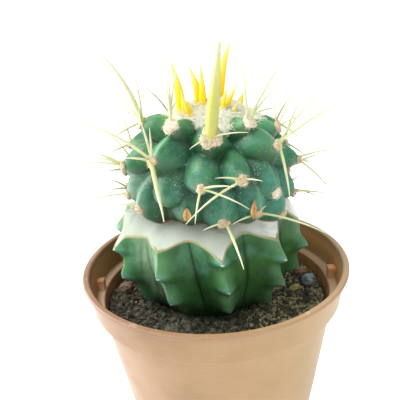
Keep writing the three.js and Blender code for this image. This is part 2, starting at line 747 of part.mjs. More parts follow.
function soilBed() {
  const floor = 3 + GAP;
  const innerRadius = (height) => bodyRadius(height) - POT.wall - GAP;
  const levelRing = (radius, z) => soilRing(radius).map((point) => point.setZ(z));
  const topRadius = innerRadius(SOIL.level - 3);
  const rings = [levelRing(innerRadius(floor) - 0.5, floor)];
  rings.push(levelRing(innerRadius(SOIL.level - 6), SOIL.level - 6));
  for (let ring = 0; ring < SOIL.rings; ring += 1) {
    rings.push(soilRing(topRadius * (1 - ring / SOIL.rings)));
  }
  const middle = new THREE.Vector3(0, 0, soilHeight(0, 0));
  return solidOf(skinOf(new THREE.Vector3(0, 0, floor), rings, middle));
}

// Larger crumbs lie in a band round the rootstock, as far as the pot's wall allows
function crumbPlaces(random) {
  const foot = new THREE.Vector3(...STOCK.foot, 0);
  const places = Array.from({ length: SOIL.crumbs }, () =>
    level(random() * 360)
      .multiplyScalar(between(SOIL.crumbBand, random()))
      .add(foot),
  );
  return places.filter((at) => at.length() < SOIL.crumbReach);
}

function crumb(at, random) {
  const size = between(SOIL.crumbSizes, random());
  const lump = new THREE.OctahedronGeometry(size, 0).scale(1, 0.8, 0.7);
  lump.rotateX(random() * 3).rotateZ(random() * 3);
  return solidOf(lump.translate(at.x, at.y, soilHeight(at.x, at.y) + 0.2));
}

// A loose bit lies in a shallow seat in the soil, which the same shape cuts when it is grown by swell
function looseBit({ at, size }, swell) {
  const lump = new THREE.IcosahedronGeometry(1, 1).scale(...size.map((each) => each + swell));
  lump.rotateX(BIT_TILT).rotateZ(at[1]);
  return solidOf(lump.translate(at[0], at[1], soilHeight(...at) + size[2] * BIT_LIFT));
}

function soilSolid() {
  const random = seededRandom(5);
  const crumbs = crumbPlaces(random).map((at) => crumb(at, random));
  const hole = solidOf(stockGeometry(1.8 * GAP).applyMatrix4(plant.matrix));
  const seats = LOOSE_BITS.map((bit) => looseBit(bit, GAP));
  return addAll(soilBed(), crumbs).subtract(addAll(hole, seats));
}

// The whole object
const object = new THREE.Group();
object.add(placedMesh("pot", geometryOf(potSolid()), COLOURS.pot, 0.55));
object.add(placedMesh("soil", geometryOf(soilSolid()), COLOURS.soil, 0.95));
for (const bit of LOOSE_BITS) {
  object.add(placedMesh(bit.name, geometryOf(looseBit(bit, 0)), bit.colour, 0.8));
}
plant.add(placedMesh("rootstock", geometryOf(solidOf(stockGeometry(0))), COLOURS.rootstock, 0.5));
headGroup.add(placedMesh("head", geometryOf(headSolid()), COLOURS.head, 0.5));
headGroup.add(placedMesh("crown_wool", geometryOf(woolSolid()), COLOURS.wool, 0.95));
object.add(plant, headGroup);

export default object;
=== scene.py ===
# %% [markdown]
# # A grafted monstrose cactus in its nursery pot
# A lumpy barrel cactus head sits on the bevelled, dried cut of a green ribbed rootstock, which stands
# in a small tan plastic pot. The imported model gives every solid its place, and this file dresses them:
# each piece is made finer from the same rule that shaped its solid, then gets its own material.
# Lengths are in millimetres until a mesh is made, because Blender itself works in metres.

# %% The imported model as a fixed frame
import math

import bmesh
import bpy
import numpy as np
from mathutils import Matrix, Vector, noise


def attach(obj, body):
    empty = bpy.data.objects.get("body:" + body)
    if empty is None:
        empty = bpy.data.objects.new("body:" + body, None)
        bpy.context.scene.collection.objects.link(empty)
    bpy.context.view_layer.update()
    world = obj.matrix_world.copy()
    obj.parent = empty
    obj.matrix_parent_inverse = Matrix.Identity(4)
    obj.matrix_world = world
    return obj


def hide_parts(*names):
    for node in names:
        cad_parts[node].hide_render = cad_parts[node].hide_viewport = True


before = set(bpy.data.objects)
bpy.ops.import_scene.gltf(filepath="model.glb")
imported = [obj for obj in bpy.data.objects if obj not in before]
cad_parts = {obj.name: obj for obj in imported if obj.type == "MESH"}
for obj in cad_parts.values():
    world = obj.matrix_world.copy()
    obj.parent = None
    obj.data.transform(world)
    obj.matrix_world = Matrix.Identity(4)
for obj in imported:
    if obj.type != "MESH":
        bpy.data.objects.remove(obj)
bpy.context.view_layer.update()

MM = 0.001


def in_scene(name, data):
    """An object that shows a mesh, a lamp or a lens, put into the scene."""
    thing = bpy.data.objects.new(name, data)
    bpy.context.scene.collection.objects.link(thing)
    return thing


print("nodes:", sorted(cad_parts))

# %% [markdown]
# ## Camera
# The photograph looks down on the pot from close by. The distance, the height and the slight roll
# follow from the ellipse of the rim and from how fast the pot narrows. They are written as an aim
# point, an elevation and a roll, because those are what a photographer turns.

# %% Camera
FRAME_PIXELS = 400
FOCAL_PIXELS = 500
SENSOR_WIDTH = 36
NEAREST_VISIBLE = 10
CAMERA_DISTANCE = 156.32
CAMERA_ELEVATION = math.radians(21.124)
CAMERA_ROLL = math.radians(-4.05)
CAMERA_AIM = Vector((-3.35, 0, 90.48))


def camera_placement():
    """Columns of the camera's own axes, rolled about the line of sight."""
    backward = Vector((0, -math.cos(CAMERA_ELEVATION), math.sin(CAMERA_ELEVATION)))
    level_right = Vector((1, 0, 0))
    level_up = backward.cross(level_right)
    right = math.cos(CAMERA_ROLL) * level_right + math.sin(CAMERA_ROLL) * level_up
    up = backward.cross(right)
    turn = Matrix((right, up, backward)).transposed()
    return Matrix.Translation((CAMERA_AIM + CAMERA_DISTANCE * backward) * MM) @ turn.to_4x4()


lens = bpy.data.cameras.new("camera")
lens.sensor_width = SENSOR_WIDTH
lens.lens = SENSOR_WIDTH * FOCAL_PIXELS / FRAME_PIXELS
lens.clip_start = NEAREST_VISIBLE * MM
camera = in_scene("camera", lens)
camera.matrix_world = camera_placement()
bpy.context.scene.camera = camera
print("camera at", [round(value, 3) for value in camera.matrix_world.translation])

# %% [markdown]
# ## Light
# The photograph is bright and soft on a white ground. The sky is brightest overhead, so that the upper
# faces of the lobes are lit and their undersides fall dark. A large lamp from the upper left draws the
# highlights on the waxy skin, a low one from the left pales the lobes at that edge, and a weak one in
# front fills the shadows. The plain view transform keeps the greens as saturated as they are.

# %% Light
HORIZON_STRENGTH = 0.25
ZENITH_STRENGTH = 0.95


def soft_lamp(name, place, aim, size, power):
    """A square lamp that looks at its aim. Places and sizes are in metres, power in watts."""
    data = bpy.data.lights.new(name, "AREA")
    data.size = size
    data.energy = power
    lamp = in_scene(name, data)
    lamp.location = place
    lamp.rotation_euler = (Vector(aim) - Vector(place)).to_track_quat("-Z", "Y").to_euler()


def bright_sky():
    """A white sky whose strength grows from the horizon to the zenith."""
    sky = bpy.data.worlds.new("sky")
    sky.use_nodes = True
    nodes, links = sky.node_tree.nodes, sky.node_tree.links
    toward = nodes.new("ShaderNodeTexCoord").outputs["Generated"]
    split = nodes.new("ShaderNodeSeparateXYZ")
    links.new(toward, split.inputs[0])
    rise = nodes.new("ShaderNodeMapRange")
    rise.inputs["To Min"].default_value = HORIZON_STRENGTH
    rise.inputs["To Max"].default_value = ZENITH_STRENGTH
    links.new(split.outputs["Z"], rise.inputs["Value"])
    ground = nodes["Background"]
    ground.inputs["Color"].default_value = (1, 1, 1, 1)
    links.new(rise.outputs[0], ground.inputs["Strength"])
    return sky


PLANT_MIDDLE = (0, 0, 0.09)
soft_lamp("window lamp", (-0.25, 0.0, 0.5), PLANT_MIDDLE, 0.3, 3.0)
soft_lamp("side lamp", (-0.45, 0.1, 0.16), PLANT_MIDDLE, 0.3, 2.0)
soft_lamp("front lamp", (0.3, -0.6, 0.35), PLANT_MIDDLE, 0.5, 1.5)
bpy.context.scene.world = bright_sky()
bpy.context.scene.view_settings.view_transform = "Standard"

# %% [markdown]
# ## Helpers for node trees
# Materials and growing rules are both trees of nodes. Small helpers keep them readable. One puts a node
# in a tree and feeds its inputs, one makes a group whose sockets carry plain names, and the others do
# sums, blend colours and make soft noise.

# %% Helpers for node trees
MIX_SHARE, MIX_LOW, MIX_HIGH, MIXED = 0, 6, 7, 2  # sockets that the Mix node uses for colours


def feed(tree, node, values):
    """Feeds a node's inputs from numbers or from the outputs of other nodes."""
    for socket, value in values.items():
        if isinstance(value, bpy.types.NodeSocket):
            tree.links.new(value, node.inputs[socket])
        else:
            node.inputs[socket].default_value = value


def put(tree, kind, values=None, **settings):
    """Adds a node to a tree, sets its options and feeds its inputs."""
    node = tree.nodes.new(kind)
    for option, choice in settings.items():
        setattr(node, option, choice)
    feed(tree, node, values or {})
    return node


def new_tree(kind, name, inputs, outputs):
    """A node group with named sockets. Returns the tree, its inputs and where its outputs go."""
    tree = bpy.data.node_groups.new(name, kind)
    for label, socket_kind, value in inputs:
        socket = tree.interface.new_socket(label, in_out="INPUT", socket_type=socket_kind)
        if value is not None:
            socket.default_value = value
    for label, socket_kind in outputs:
        tree.interface.new_socket(label, in_out="OUTPUT", socket_type=socket_kind)
    given = tree.nodes.new("NodeGroupInput").outputs
    result = tree.nodes.new("NodeGroupOutput").inputs
    return tree, given, result


def maths(tree, operation, first, second=0.0):
    return put(tree, "ShaderNodeMath", {0: first, 1: second}, operation=operation).outputs[0]


def times(tree, first, second):
    return maths(tree, "MULTIPLY", first, second)


def blend_colours(tree, share, low, high):
    values = {MIX_SHARE: share, MIX_LOW: low, MIX_HIGH: high}
    return put(tree, "ShaderNodeMix", values, data_type="RGBA").outputs[MIXED]


def laid_over(tree, under, colour, mask, strength):
    """A colour laid over another one where a mask says so. Strength is how well it covers there."""
    return blend_colours(tree, times(tree, mask, strength), under, colour)


def ramp(tree, value, low, high, start=0.0, end=1.0):
    """Value stretched from the range low to high onto the range start to end, and held there."""
    values = {"Value": value, "From Min": low, "From Max": high, "To Min": start, "To Max": end}
    return put(tree, "ShaderNodeMapRange", values).outputs[0]


def cloud(tree, place, size, detail=3.0):
    """Soft noise from 0 to 1 whose patches are about size millimetres wide."""
    scale = maths(tree, "DIVIDE", 1 / MM, size)
    values = {"Vector": place, "Scale": scale, "Detail": detail}
    return put(tree, "ShaderNodeTexNoise", values).outputs[0]


def stretched(tree, place, scale):
    """The same place with its axes scaled, which draws out a cloud along the axis made small."""
    return put(tree, "ShaderNodeMapping", {"Vector": place, "Scale": scale}).outputs[0]


def coordinate(tree, place, axis):
    return put(tree, "ShaderNodeSeparateXYZ", {0: place}).outputs[axis]


def rightward(tree, place, reach=30.0):
    """0 at the left of the pot and 1 at its right, with a soft change in between."""
    return ramp(tree, coordinate(tree, place, "X"), -reach * MM, reach * MM)


print("node helpers ready")

# %% [markdown]
# ## Effects that several finishes share
# Living skin shows on head and rootstock, felt on areoles and wool, and mineral grain on soil and
# pebbles. Each effect is a group that takes sizes and colours and gives back a colour, a roughness and
# a height for the bump. The plastic of the pot is made in the same way, so that its parts stay alike.

# %% The effect of waxy succulent skin
COLOUR, NUMBER, VECTOR = "NodeSocketColor", "NodeSocketFloat", "NodeSocketVector"
LOOK = [("Colour", COLOUR), ("Roughness", NUMBER), ("Height", NUMBER)]


def give_back(tree, result, colour, roughness, height):
    """Links the three outputs that every effect has."""
    tree.links.new(colour, result["Colour"])
    tree.links.new(roughness, result["Roughness"])
    tree.links.new(height, result["Height"])


def waxy_skin_effect():
    """Mottled green under a bluish bloom that collects on open faces and is rubbed off in places, with
    painted shade in creases.
    """
    inputs = [
        ("Place", VECTOR, None),
        ("Green", COLOUR, None),
        ("Deep green", COLOUR, None),
        ("Bloom", COLOUR, None),
        ("Bloom amount", NUMBER, 0.5),
        ("Crease shade", NUMBER, 0.0),
    ]
    tree, given, result = new_tree("ShaderNodeTree", "waxy skin", inputs, LOOK)
    broad = ramp(tree, cloud(tree, given["Place"], 9.0), 0.35, 0.65)
    fine = ramp(tree, cloud(tree, given["Place"], 1.4, 5.0), 0.3, 0.7)
    specks = ramp(tree, cloud(tree, given["Place"], 0.5, 2.0), 0.66, 0.74)
    green = blend_colours(tree, broad, given["Deep green"], given["Green"])
    veil = times(tree, given["Bloom amount"], ramp(tree, fine, 0.0, 1.0, 0.55, 1.0))
    dusted = blend_colours(tree, veil, green, given["Bloom"])
    specked = laid_over(tree, dusted, (0.35, 0.5, 0.33, 1), specks, 0.2)
    # Painted shade: the crease input darkens the skin towards a near-black green.
    shaded = blend_colours(tree, given["Crease shade"], specked, (0.004, 0.022, 0.008, 1))
    roughness = ramp(tree, veil, 0.0, 0.8, 0.36, 0.6)
    give_back(tree, result, shaded, roughness, maths(tree, "ADD", fine, specks))
    return tree


WAXY_SKIN = waxy_skin_effect()
print("waxy skin:", len(WAXY_SKIN.nodes), "nodes")

# %% The effects of felt and of mineral grain


def felt_effect():
    """Matted wool: light fibre tips over darker roots, in small tufts."""
    inputs = [
        ("Place", VECTOR, None),
        ("Tips", COLOUR, None),
        ("Roots", COLOUR, None),
        ("Tuft size", NUMBER, 0.8),
    ]
    tree, given, result = new_tree("ShaderNodeTree", "felt", inputs, LOOK)
    tufts = cloud(tree, given["Place"], given["Tuft size"], 6.0)
    shade = ramp(tree, tufts, 0.3, 0.62)
    matted = blend_colours(tree, shade, given["Roots"], given["Tips"])
    give_back(tree, result, matted, ramp(tree, shade, 0.0, 1.0, 1.0, 0.85), shade)
    return tree


def grain_effect():
    """Stone and soil: a body colour with darker pits and lighter mineral flecks."""
    inputs = [
        ("Place", VECTOR, None),
        ("Body", COLOUR, None),
        ("Pits", COLOUR, None),
        ("Flecks", COLOUR, None),
        ("Grain size", NUMBER, 0.8),
    ]
    tree, given, result = new_tree("ShaderNodeTree", "mineral grain", inputs, LOOK)
    coarse = cloud(tree, given["Place"], times(tree, given["Grain size"], 3.0), 4.0)
    fine = cloud(tree, given["Place"], given["Grain size"], 5.0)
    pitted = blend_colours(tree, ramp(tree, coarse, 0.38, 0.6), given["Pits"], given["Body"])
    flecked = blend_colours(tree, ramp(tree, fine, 0.58, 0.7), pitted, given["Flecks"])
    roughness = ramp(tree, fine, 0.3, 0.7, 1.0, 0.75)
    give_back(tree, result, flecked, roughness, maths(tree, "ADD", coarse, fine))
    return tree


FELT = felt_effect()
GRAIN = grain_effect()
print("felt:", len(FELT.nodes), "nodes, mineral grain:", len(GRAIN.nodes), "nodes")

# %% The effect of moulded plastic


def plastic_effect():
    """Thin moulded plastic: faint clouds in the colour, fine scuffs, and soil dust where it is masked."""
    inputs = [
        ("Place", VECTOR, None),
        ("Colour", COLOUR, None),
        ("Cloud", COLOUR, None),
        ("Dust", COLOUR, None),
        ("Dust amount", NUMBER, 0.0),
    ]
    tree, given, result = new_tree("ShaderNodeTree", "moulded plastic", inputs, LOOK)
    clouds = ramp(tree, cloud(tree, given["Place"], 14.0), 0.35, 0.65)
    skin = cloud(tree, given["Place"], 0.5, 2.0)
    flattened = stretched(tree, given["Place"], (1.0, 1.0, 14.0))
    scuffs = ramp(tree, cloud(tree, flattened, 3.0, 6.0), 0.62, 0.72)
    tinted = blend_colours(tree, clouds, given["Colour"], given["Cloud"])
    scuffed = laid_over(tree, tinted, (0.75, 0.62, 0.5, 1), scuffs, 0.18)
    patchy = ramp(tree, cloud(tree, given["Place"], 1.6, 6.0), 0.35, 0.65)
    dust = times(tree, patchy, given["Dust amount"])
    dusty = blend_colours(tree, dust, scuffed, given["Dust"])
    roughness = ramp(tree, maths(tree, "ADD", scuffs, dust), 0.0, 1.0, 0.42, 0.75)
    give_back(tree, result, dusty, roughness, skin)
    return tree


PLASTIC = plastic_effect()
print("moulded plastic:", len(PLASTIC.nodes), "nodes")

# %% A material from an effect


def attribute_mask(tree, name):
    """A number that the mesh carries at each of its points, such as how deep it lies in a furrow."""
    return put(tree, "ShaderNodeAttribute", attribute_name=name).outputs["Fac"]


def new_material(name):
    """A material with a plain shader. Returns the material, its tree, the shader and object space."""
    material = bpy.data.materials.new(name)
    material.use_nodes = True
    tree = material.node_tree
    shader = tree.nodes["Principled BSDF"]
    place = put(tree, "ShaderNodeTexCoord").outputs["Object"]
    return material, tree, shader, place


def use_effect(tree, effect, values):
    group = put(tree, "ShaderNodeGroup", node_tree=effect)
    feed(tree, group, values)
    return group.outputs


def finish_material(tree, shader, colour, roughness, height, relief, sheen=0.0, shine=0.5):
    """Feeds the shader. Relief is the depth of the bump in millimetres, sheen and shine are shares."""
    bump = put(tree, "ShaderNodeBump", {"Height": height, "Distance": relief * MM, "Strength": 1.0})
    tree.links.new(colour, shader.inputs["Base Color"])
    tree.links.new(roughness, shader.inputs["Roughness"])
    tree.links.new(bump.outputs["Normal"], shader.inputs["Normal"])
    shader.inputs["Sheen Weight"].default_value = sheen
    shader.inputs["Specular IOR Level"].default_value = shine


def finish_with(tree, shader, look, relief, sheen=0.0):
    """Feeds the shader straight from the outputs of an effect."""
    finish_material(tree, shader, look["Colour"], look["Roughness"], look["Height"], relief, sheen)


print("material helpers ready")

# %% [markdown]
# ## Helpers for meshes
# The rules of the plant give points as arrays. A mesh is made from points, faces and the numbers that
# its material will ask for. A ringed skin closes any row of rings with a point at both ends.

# %% Helpers for meshes
rng = np.random.default_rng(7)


def level(azimuth):
    """Level directions from azimuths in degrees: 0 is the front, 90 the right."""
    turn = np.radians(azimuth)
    return np.stack([np.sin(turn), -np.cos(turn), np.zeros_like(turn)], axis=-1)


def direction(azimuth, elevation):
    rise = np.radians(elevation)
    outward = level(np.asarray(azimuth, float)) * np.cos(rise)
    outward[..., 2] = np.sin(rise)
    return outward


def smooth_step(low, high, value):
    share = np.clip((value - low) / (high - low), 0, 1)
    return share * share * (3 - 2 * share)


def leaning(right, back):
    """Turns from an upright part's own axes to the pot's: leant back, then to the right."""
    side, rear = math.radians(right), math.radians(-back)
    about_y = np.array([[math.cos(side), 0, math.sin(side)], [0, 1, 0], [-math.sin(side), 0, math.cos(side)]])
    about_x = np.array([[1, 0, 0], [0, math.cos(rear), -math.sin(rear)], [0, math.sin(rear), math.cos(rear)]])
    return about_y @ about_x


def rough(points, size, octaves=3):
    """Smooth noise about -1 to 1 at each point, with patches of about size millimetres."""
    return np.array([noise.fractal(Vector(point) / size, 1.0, 2.0, octaves) for point in points])


def carry(mesh, masks):
    """Writes a number at each point of a mesh for every mask."""
    for label, values in masks.items():
        layer = mesh.attributes.new(label, "FLOAT", "POINT")
        layer.data.foreach_set("value", np.asarray(values, dtype=np.float32))


def shade_faces(mesh, smooth=True):
    mesh.polygons.foreach_set("use_smooth", [smooth] * len(mesh.polygons))


def mesh_object(name, points, faces, masks=None):
    """A smooth mesh from points in millimetres, with a number at each point for every mask."""
    mesh = bpy.data.meshes.new(name)
    mesh.from_pydata((np.asarray(points) * MM).tolist(), [], faces)
    carry(mesh, masks or {})
    shade_faces(mesh)
    mesh.update()
    return in_scene(name, mesh)


def evaluated_mesh(thing):
    """A plain mesh of a thing as its modifiers leave it."""
    shown = thing.evaluated_get(bpy.context.evaluated_depsgraph_get())
    return bpy.data.meshes.new_from_object(shown)


def ringed_faces(rings, sides):
    """Faces of a closed skin: point 0, then rings of equal length, then a last point."""
    def corner(ring, side):
        return 1 + ring * sides + side % sides

    last = 1 + rings * sides
    faces = [(0, corner(0, side + 1), corner(0, side)) for side in range(sides)]
    faces += [(last, corner(rings - 1, side), corner(rings - 1, side + 1)) for side in range(sides)]
    for ring in range(rings - 1):
        for side in range(sides):
            faces.append((
                corner(ring, side), corner(ring, side + 1), corner(ring + 1, side + 1), corner(ring + 1, side)
            ))
    return faces


def finish_piece(piece, node, material=None):
    """Finishes a piece: it rides with the object's one body and stands for its CAD node, which is hidden."""
    if material:
        piece.data.materials.clear()
        piece.data.materials.append(material)
    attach(piece, "root")
    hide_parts(node)
    print(piece.name, "for", node, "-", len(piece.data.polygons), "faces")


print("mesh helpers ready")

# %% [markdown]
# ## Growing rules
# Three things repeat over this object: spines follow a path, wool fibres stand on a pad, and grit lies
# on the soil. Each is a small Geometry Nodes tree with named inputs, run once and kept as a plain mesh.

# %% Growing rules: the spine
GEOMETRY, WHOLE, STUFF = "NodeSocketGeometry", "NodeSocketInt", "NodeSocketMaterial"


def spine_rule():
    """A path with a width at each point becomes a round tapered spine with closed ends."""
    inputs = [
        ("Geometry", GEOMETRY, None),
        ("Steps", WHOLE, 12),
        ("Sides", WHOLE, 7),
        ("Tip share", NUMBER, 0.1),
        ("Taper", NUMBER, 1.5),
        ("Material", STUFF, None),
    ]
    tree, given, result = new_tree("GeometryNodeTree", "spine rule", inputs, [("Geometry", GEOMETRY)])
    path = put(tree, "GeometryNodeMeshToCurve", {"Mesh": given["Geometry"]}).outputs[0]
    even = put(tree, "GeometryNodeResampleCurve", {"Curve": path, "Count": given["Steps"]}).outputs[0]
    share = put(tree, "GeometryNodeSplineParameter").outputs["Factor"]
    values = {"Geometry": even, "Name": "along", "Value": share}
    marked = put(tree, "GeometryNodeStoreNamedAttribute", values).outputs[0]
    all_but_tip = maths(tree, "SUBTRACT", 1.0, given["Tip share"])
    lost = times(tree, maths(tree, "POWER", share, given["Taper"]), all_but_tip)
    width = put(tree, "GeometryNodeInputNamedAttribute", {"Name": "width"}).outputs[0]
    radius = times(tree, times(tree, width, 0.5), maths(tree, "SUBTRACT", 1.0, lost))
    ring = put(tree, "GeometryNodeCurvePrimitiveCircle", {"Resolution": given["Sides"], "Radius": 1.0})
    values = {"Curve": marked, "Profile Curve": ring.outputs[0], "Scale": radius, "Fill Caps": True}
    skin = put(tree, "GeometryNodeCurveToMesh", values).outputs[0]
    real = put(tree, "GeometryNodeRealizeInstances", {"Geometry": skin}).outputs[0]
    done = put(tree, "GeometryNodeSetMaterial", {"Geometry": real, "Material": given["Material"]}).outputs[0]
    tree.links.new(done, result["Geometry"])
    return tree


SPINE_RULE = spine_rule()
print("spine rule:", len(SPINE_RULE.nodes), "nodes")

# %% Growing rules: fibres and grit


def scattered(tree, given, shape, lowest, highest, upright):
    """Copies of a shape on random points of the surface, turned and scaled at random."""
    values = {"Mesh": given["Geometry"], "Density": given["Density"], "Seed": given["Seed"]}
    spots = put(tree, "GeometryNodeDistributePointsOnFaces", values)
    full_turn = (math.tau, math.tau, math.tau)
    turn_range = {0: (0, 0, 0), 1: (0, 0, math.tau) if upright else full_turn, "Seed": given["Seed"]}
    turn = put(tree, "FunctionNodeRandomValue", turn_range, data_type="FLOAT_VECTOR").outputs[0]
    rotation = put(tree, "FunctionNodeEulerToRotation", {0: turn}).outputs[0]
    if upright:
        values = {"Rotation": spots.outputs["Rotation"], "Rotate By": rotation}
        rotation = put(tree, "FunctionNodeRotateRotation", values, rotation_space="LOCAL").outputs[0]
    size_range = {0: lowest, 1: highest, "Seed": given["Seed"]}
    size = put(tree, "FunctionNodeRandomValue", size_range, data_type="FLOAT_VECTOR").outputs[0]
    values = {"Points": spots.outputs["Points"], "Instance": shape, "Rotation": rotation, "Scale": size}
    copies = put(tree, "GeometryNodeInstanceOnPoints", values).outputs[0]
    values = {"Geometry": copies, "Name": "shade", "Value": put(tree, "FunctionNodeRandomValue").outputs[1]}
    shaded = put(tree, "GeometryNodeStoreNamedAttribute", values, domain="INSTANCE").outputs[0]
    real = put(tree, "GeometryNodeRealizeInstances", {"Geometry": shaded}).outputs[0]
    return put(tree, "GeometryNodeSetMaterial", {"Geometry": real, "Material": given["Material"]}).outputs[0]


def vector_from(tree, across, along):
    return put(tree, "ShaderNodeCombineXYZ", {0: across, 1: across, 2: along}).outputs[0]


def fibre_rule():
    """Short bent wool fibres that stand on a surface."""
    inputs = [
        ("Geometry", GEOMETRY, None),
        ("Density", NUMBER, 1e6),
        ("Shortest", NUMBER, 0.001),
        ("Longest", NUMBER, 0.002),
        ("Thickness", NUMBER, 0.00006),
        ("Bend", NUMBER, 0.5),
        ("Seed", WHOLE, 1),
        ("Material", STUFF, None),
    ]
    tree, given, result = new_tree("GeometryNodeTree", "fibre rule", inputs, [("Geometry", GEOMETRY)])
    values = {
        "Resolution": 3,
        "Start": (0, 0, 0),
        "Middle": (0, 0, 0.6),
        "End": put(tree, "ShaderNodeCombineXYZ", {0: given["Bend"], 1: 0.0, 2: 0.9}).outputs[0],
    }
    bent = put(tree, "GeometryNodeCurveQuadraticBezier", values).outputs[0]
    slimness = maths(tree, "DIVIDE", given["Thickness"], given["Longest"])
    ring = put(tree, "GeometryNodeCurvePrimitiveCircle", {"Resolution": 3, "Radius": slimness}).outputs[0]
    fibre = put(tree, "GeometryNodeCurveToMesh", {"Curve": bent, "Profile Curve": ring, "Fill Caps": True})
    lowest = vector_from(tree, given["Longest"], given["Shortest"])
    highest = vector_from(tree, given["Longest"], given["Longest"])
    done = scattered(tree, given, fibre.outputs[0], lowest, highest, upright=True)
    tree.links.new(done, result["Geometry"])
    return tree


def grit_rule():
    """Angular crumbs that lie on a surface, each of its own size, turn and shade."""
    inputs = [
        ("Geometry", GEOMETRY, None),
        ("Density", NUMBER, 1e6),
        ("Smallest", NUMBER, 0.0003),
        ("Largest", NUMBER, 0.0008),
        ("Seed", WHOLE, 1),
        ("Material", STUFF, None),
    ]
    tree, given, result = new_tree("GeometryNodeTree", "grit rule", inputs, [("Geometry", GEOMETRY)])
    crumb = put(tree, "GeometryNodeMeshIcoSphere", {"Radius": 1.0, "Subdivisions": 1}).outputs[0]
    lowest = vector_from(tree, given["Smallest"], given["Smallest"])
    highest = vector_from(tree, given["Largest"], given["Largest"])
    done = scattered(tree, given, crumb, lowest, highest, upright=False)
    tree.links.new(done, result["Geometry"])
    return tree


FIBRE_RULE = fibre_rule()
GRIT_RULE = grit_rule()
print("fibre rule:", len(FIBRE_RULE.nodes), "nodes, grit rule:", len(GRIT_RULE.nodes), "nodes")

# %% Running a growing rule


def grow(rule, source, name, values, smooth=True):
    """Runs a rule on a mesh object and returns what it grows as a new plain mesh object."""
    modifier = source.modifiers.new(rule.name, "NODES")
    modifier.node_group = rule
    sockets = {item.name: item.identifier for item in rule.interface.items_tree if item.in_out == "INPUT"}
    for label, value in values.items():
        modifier[sockets[label]] = value
    mesh = evaluated_mesh(source)
    shade_faces(mesh, smooth)
    source.modifiers.remove(modifier)
    return in_scene(name, mesh)


print("rules can run")

# %% [markdown]
# ## The pot
# A thin nursery pot is a lathe shape: a tapered body, a step, a taller collar and a small rolled rim.
# Its solid has flat facets, so the same profile is turned again with many more, the drain holes are cut
# and the four stacking lugs stand on the inner ledge. The lower half is not in view in the photograph.

# %% The pot's profile
POT_HEIGHT = 70
RIM_RADIUS = 42.5
WALL = 1
COLLAR_TOP_RADIUS = 41.5
COLLAR_FOOT_RADIUS = 40.2
BODY_TOP_RADIUS = 37.7
FOOT_RADIUS = 28.3
COLLAR_FOOT = 59.7
BODY_TOP = COLLAR_FOOT - 1.5
LEDGE_TOP = COLLAR_FOOT + 0.9
BODY_FOOT_HEIGHT = 0.8
POT_EDGE = 0.4  # rounding of the pot's edges
SOIL_LEVEL = 56
DRAIN_HOLES = 8
DRAIN_CIRCLE = 19
DRAIN_RADIUS = 3.2


def body_radius(height):
    share = (height - BODY_FOOT_HEIGHT) / (BODY_TOP - BODY_FOOT_HEIGHT)
    return FOOT_RADIUS + (BODY_TOP_RADIUS - FOOT_RADIUS) * share


def pot_profile():
    """Radius and height of each corner, from the foot's middle round the rim to the inner floor."""
    pad, channel_end, rise, slope = 12, 24, 2, 2
    lip_foot = POT_HEIGHT - 1.4
    neck = body_radius(BODY_TOP) - WALL
    outside = [
        (pad, 0), (pad + slope, rise), (channel_end, rise), (channel_end + slope, 0),
        (FOOT_RADIUS - BODY_FOOT_HEIGHT, 0), (FOOT_RADIUS, BODY_FOOT_HEIGHT),
        (body_radius(BODY_TOP), BODY_TOP), (COLLAR_FOOT_RADIUS - POT_EDGE, COLLAR_FOOT),
        (COLLAR_FOOT_RADIUS, COLLAR_FOOT + POT_EDGE), (COLLAR_TOP_RADIUS, lip_foot),
        (RIM_RADIUS - POT_EDGE, lip_foot), (RIM_RADIUS, lip_foot + POT_EDGE),
        (RIM_RADIUS, POT_HEIGHT - POT_EDGE), (RIM_RADIUS - POT_EDGE, POT_HEIGHT),
    ]
    inside = [
        (COLLAR_TOP_RADIUS - WALL + POT_EDGE, POT_HEIGHT), (COLLAR_TOP_RADIUS - WALL, POT_HEIGHT - POT_EDGE),
        (COLLAR_FOOT_RADIUS - WALL, LEDGE_TOP + POT_EDGE), (COLLAR_FOOT_RADIUS - WALL - POT_EDGE, LEDGE_TOP),
        (neck + POT_EDGE, LEDGE_TOP), (neck, LEDGE_TOP - POT_EDGE), (neck, BODY_TOP),
        (body_radius(2 * WALL) - WALL, 2 * WALL), (body_radius(WALL) - 2 * WALL, WALL),
        (channel_end + slope - POT_EDGE, WALL), (channel_end - POT_EDGE, rise + WALL),
        (pad + slope + POT_EDGE, rise + WALL), (pad + POT_EDGE, WALL),
    ]
    return outside + inside


POT_CORNERS = pot_profile()
print("profile corners:", len(POT_CORNERS))

# %% The pot's material


def pot_material():
    """Tan plastic with painted light, darker and redder at the left and paler at the right, deeper inside and
    dusty near the soil.
    """
    material, tree, shader, place = new_material("tan pot plastic")
    inner = attribute_mask(tree, "inner")
    # Painted light and shade: each colour is paler at the right, where the pot is lit, and darker and redder
    # at the left.
    lightened = rightward(tree, place)
    outer_wall = blend_colours(tree, lightened, (0.215, 0.1, 0.022, 1), (0.36, 0.235, 0.09, 1))
    inner_wall = blend_colours(tree, lightened, (0.36, 0.135, 0.05, 1), (0.72, 0.36, 0.14, 1))
    rim = blend_colours(tree, lightened, (0.19, 0.09, 0.04, 1), (0.36, 0.23, 0.115, 1))
    walls = blend_colours(tree, inner, outer_wall, inner_wall)
    stepped = blend_colours(tree, attribute_mask(tree, "ledge"), walls, (0.62, 0.42, 0.29, 1))
    colour = blend_colours(tree, attribute_mask(tree, "rim"), stepped, rim)
    values = {
        "Place": place,
        "Colour": colour,
        "Cloud": blend_colours(tree, 0.25, colour, (0.5, 0.3, 0.16, 1)),
        "Dust": (0.09, 0.06, 0.035, 1),
        "Dust amount": attribute_mask(tree, "dust"),
    }
    finish_with(tree, shader, use_effect(tree, PLASTIC, values), 0.02)
    shader.inputs["Coat Roughness"].default_value = 0.4
    shader.inputs["Coat Weight"].default_value = 0.15
    return material


POT_PLASTIC = pot_material()
print(POT_PLASTIC.name)

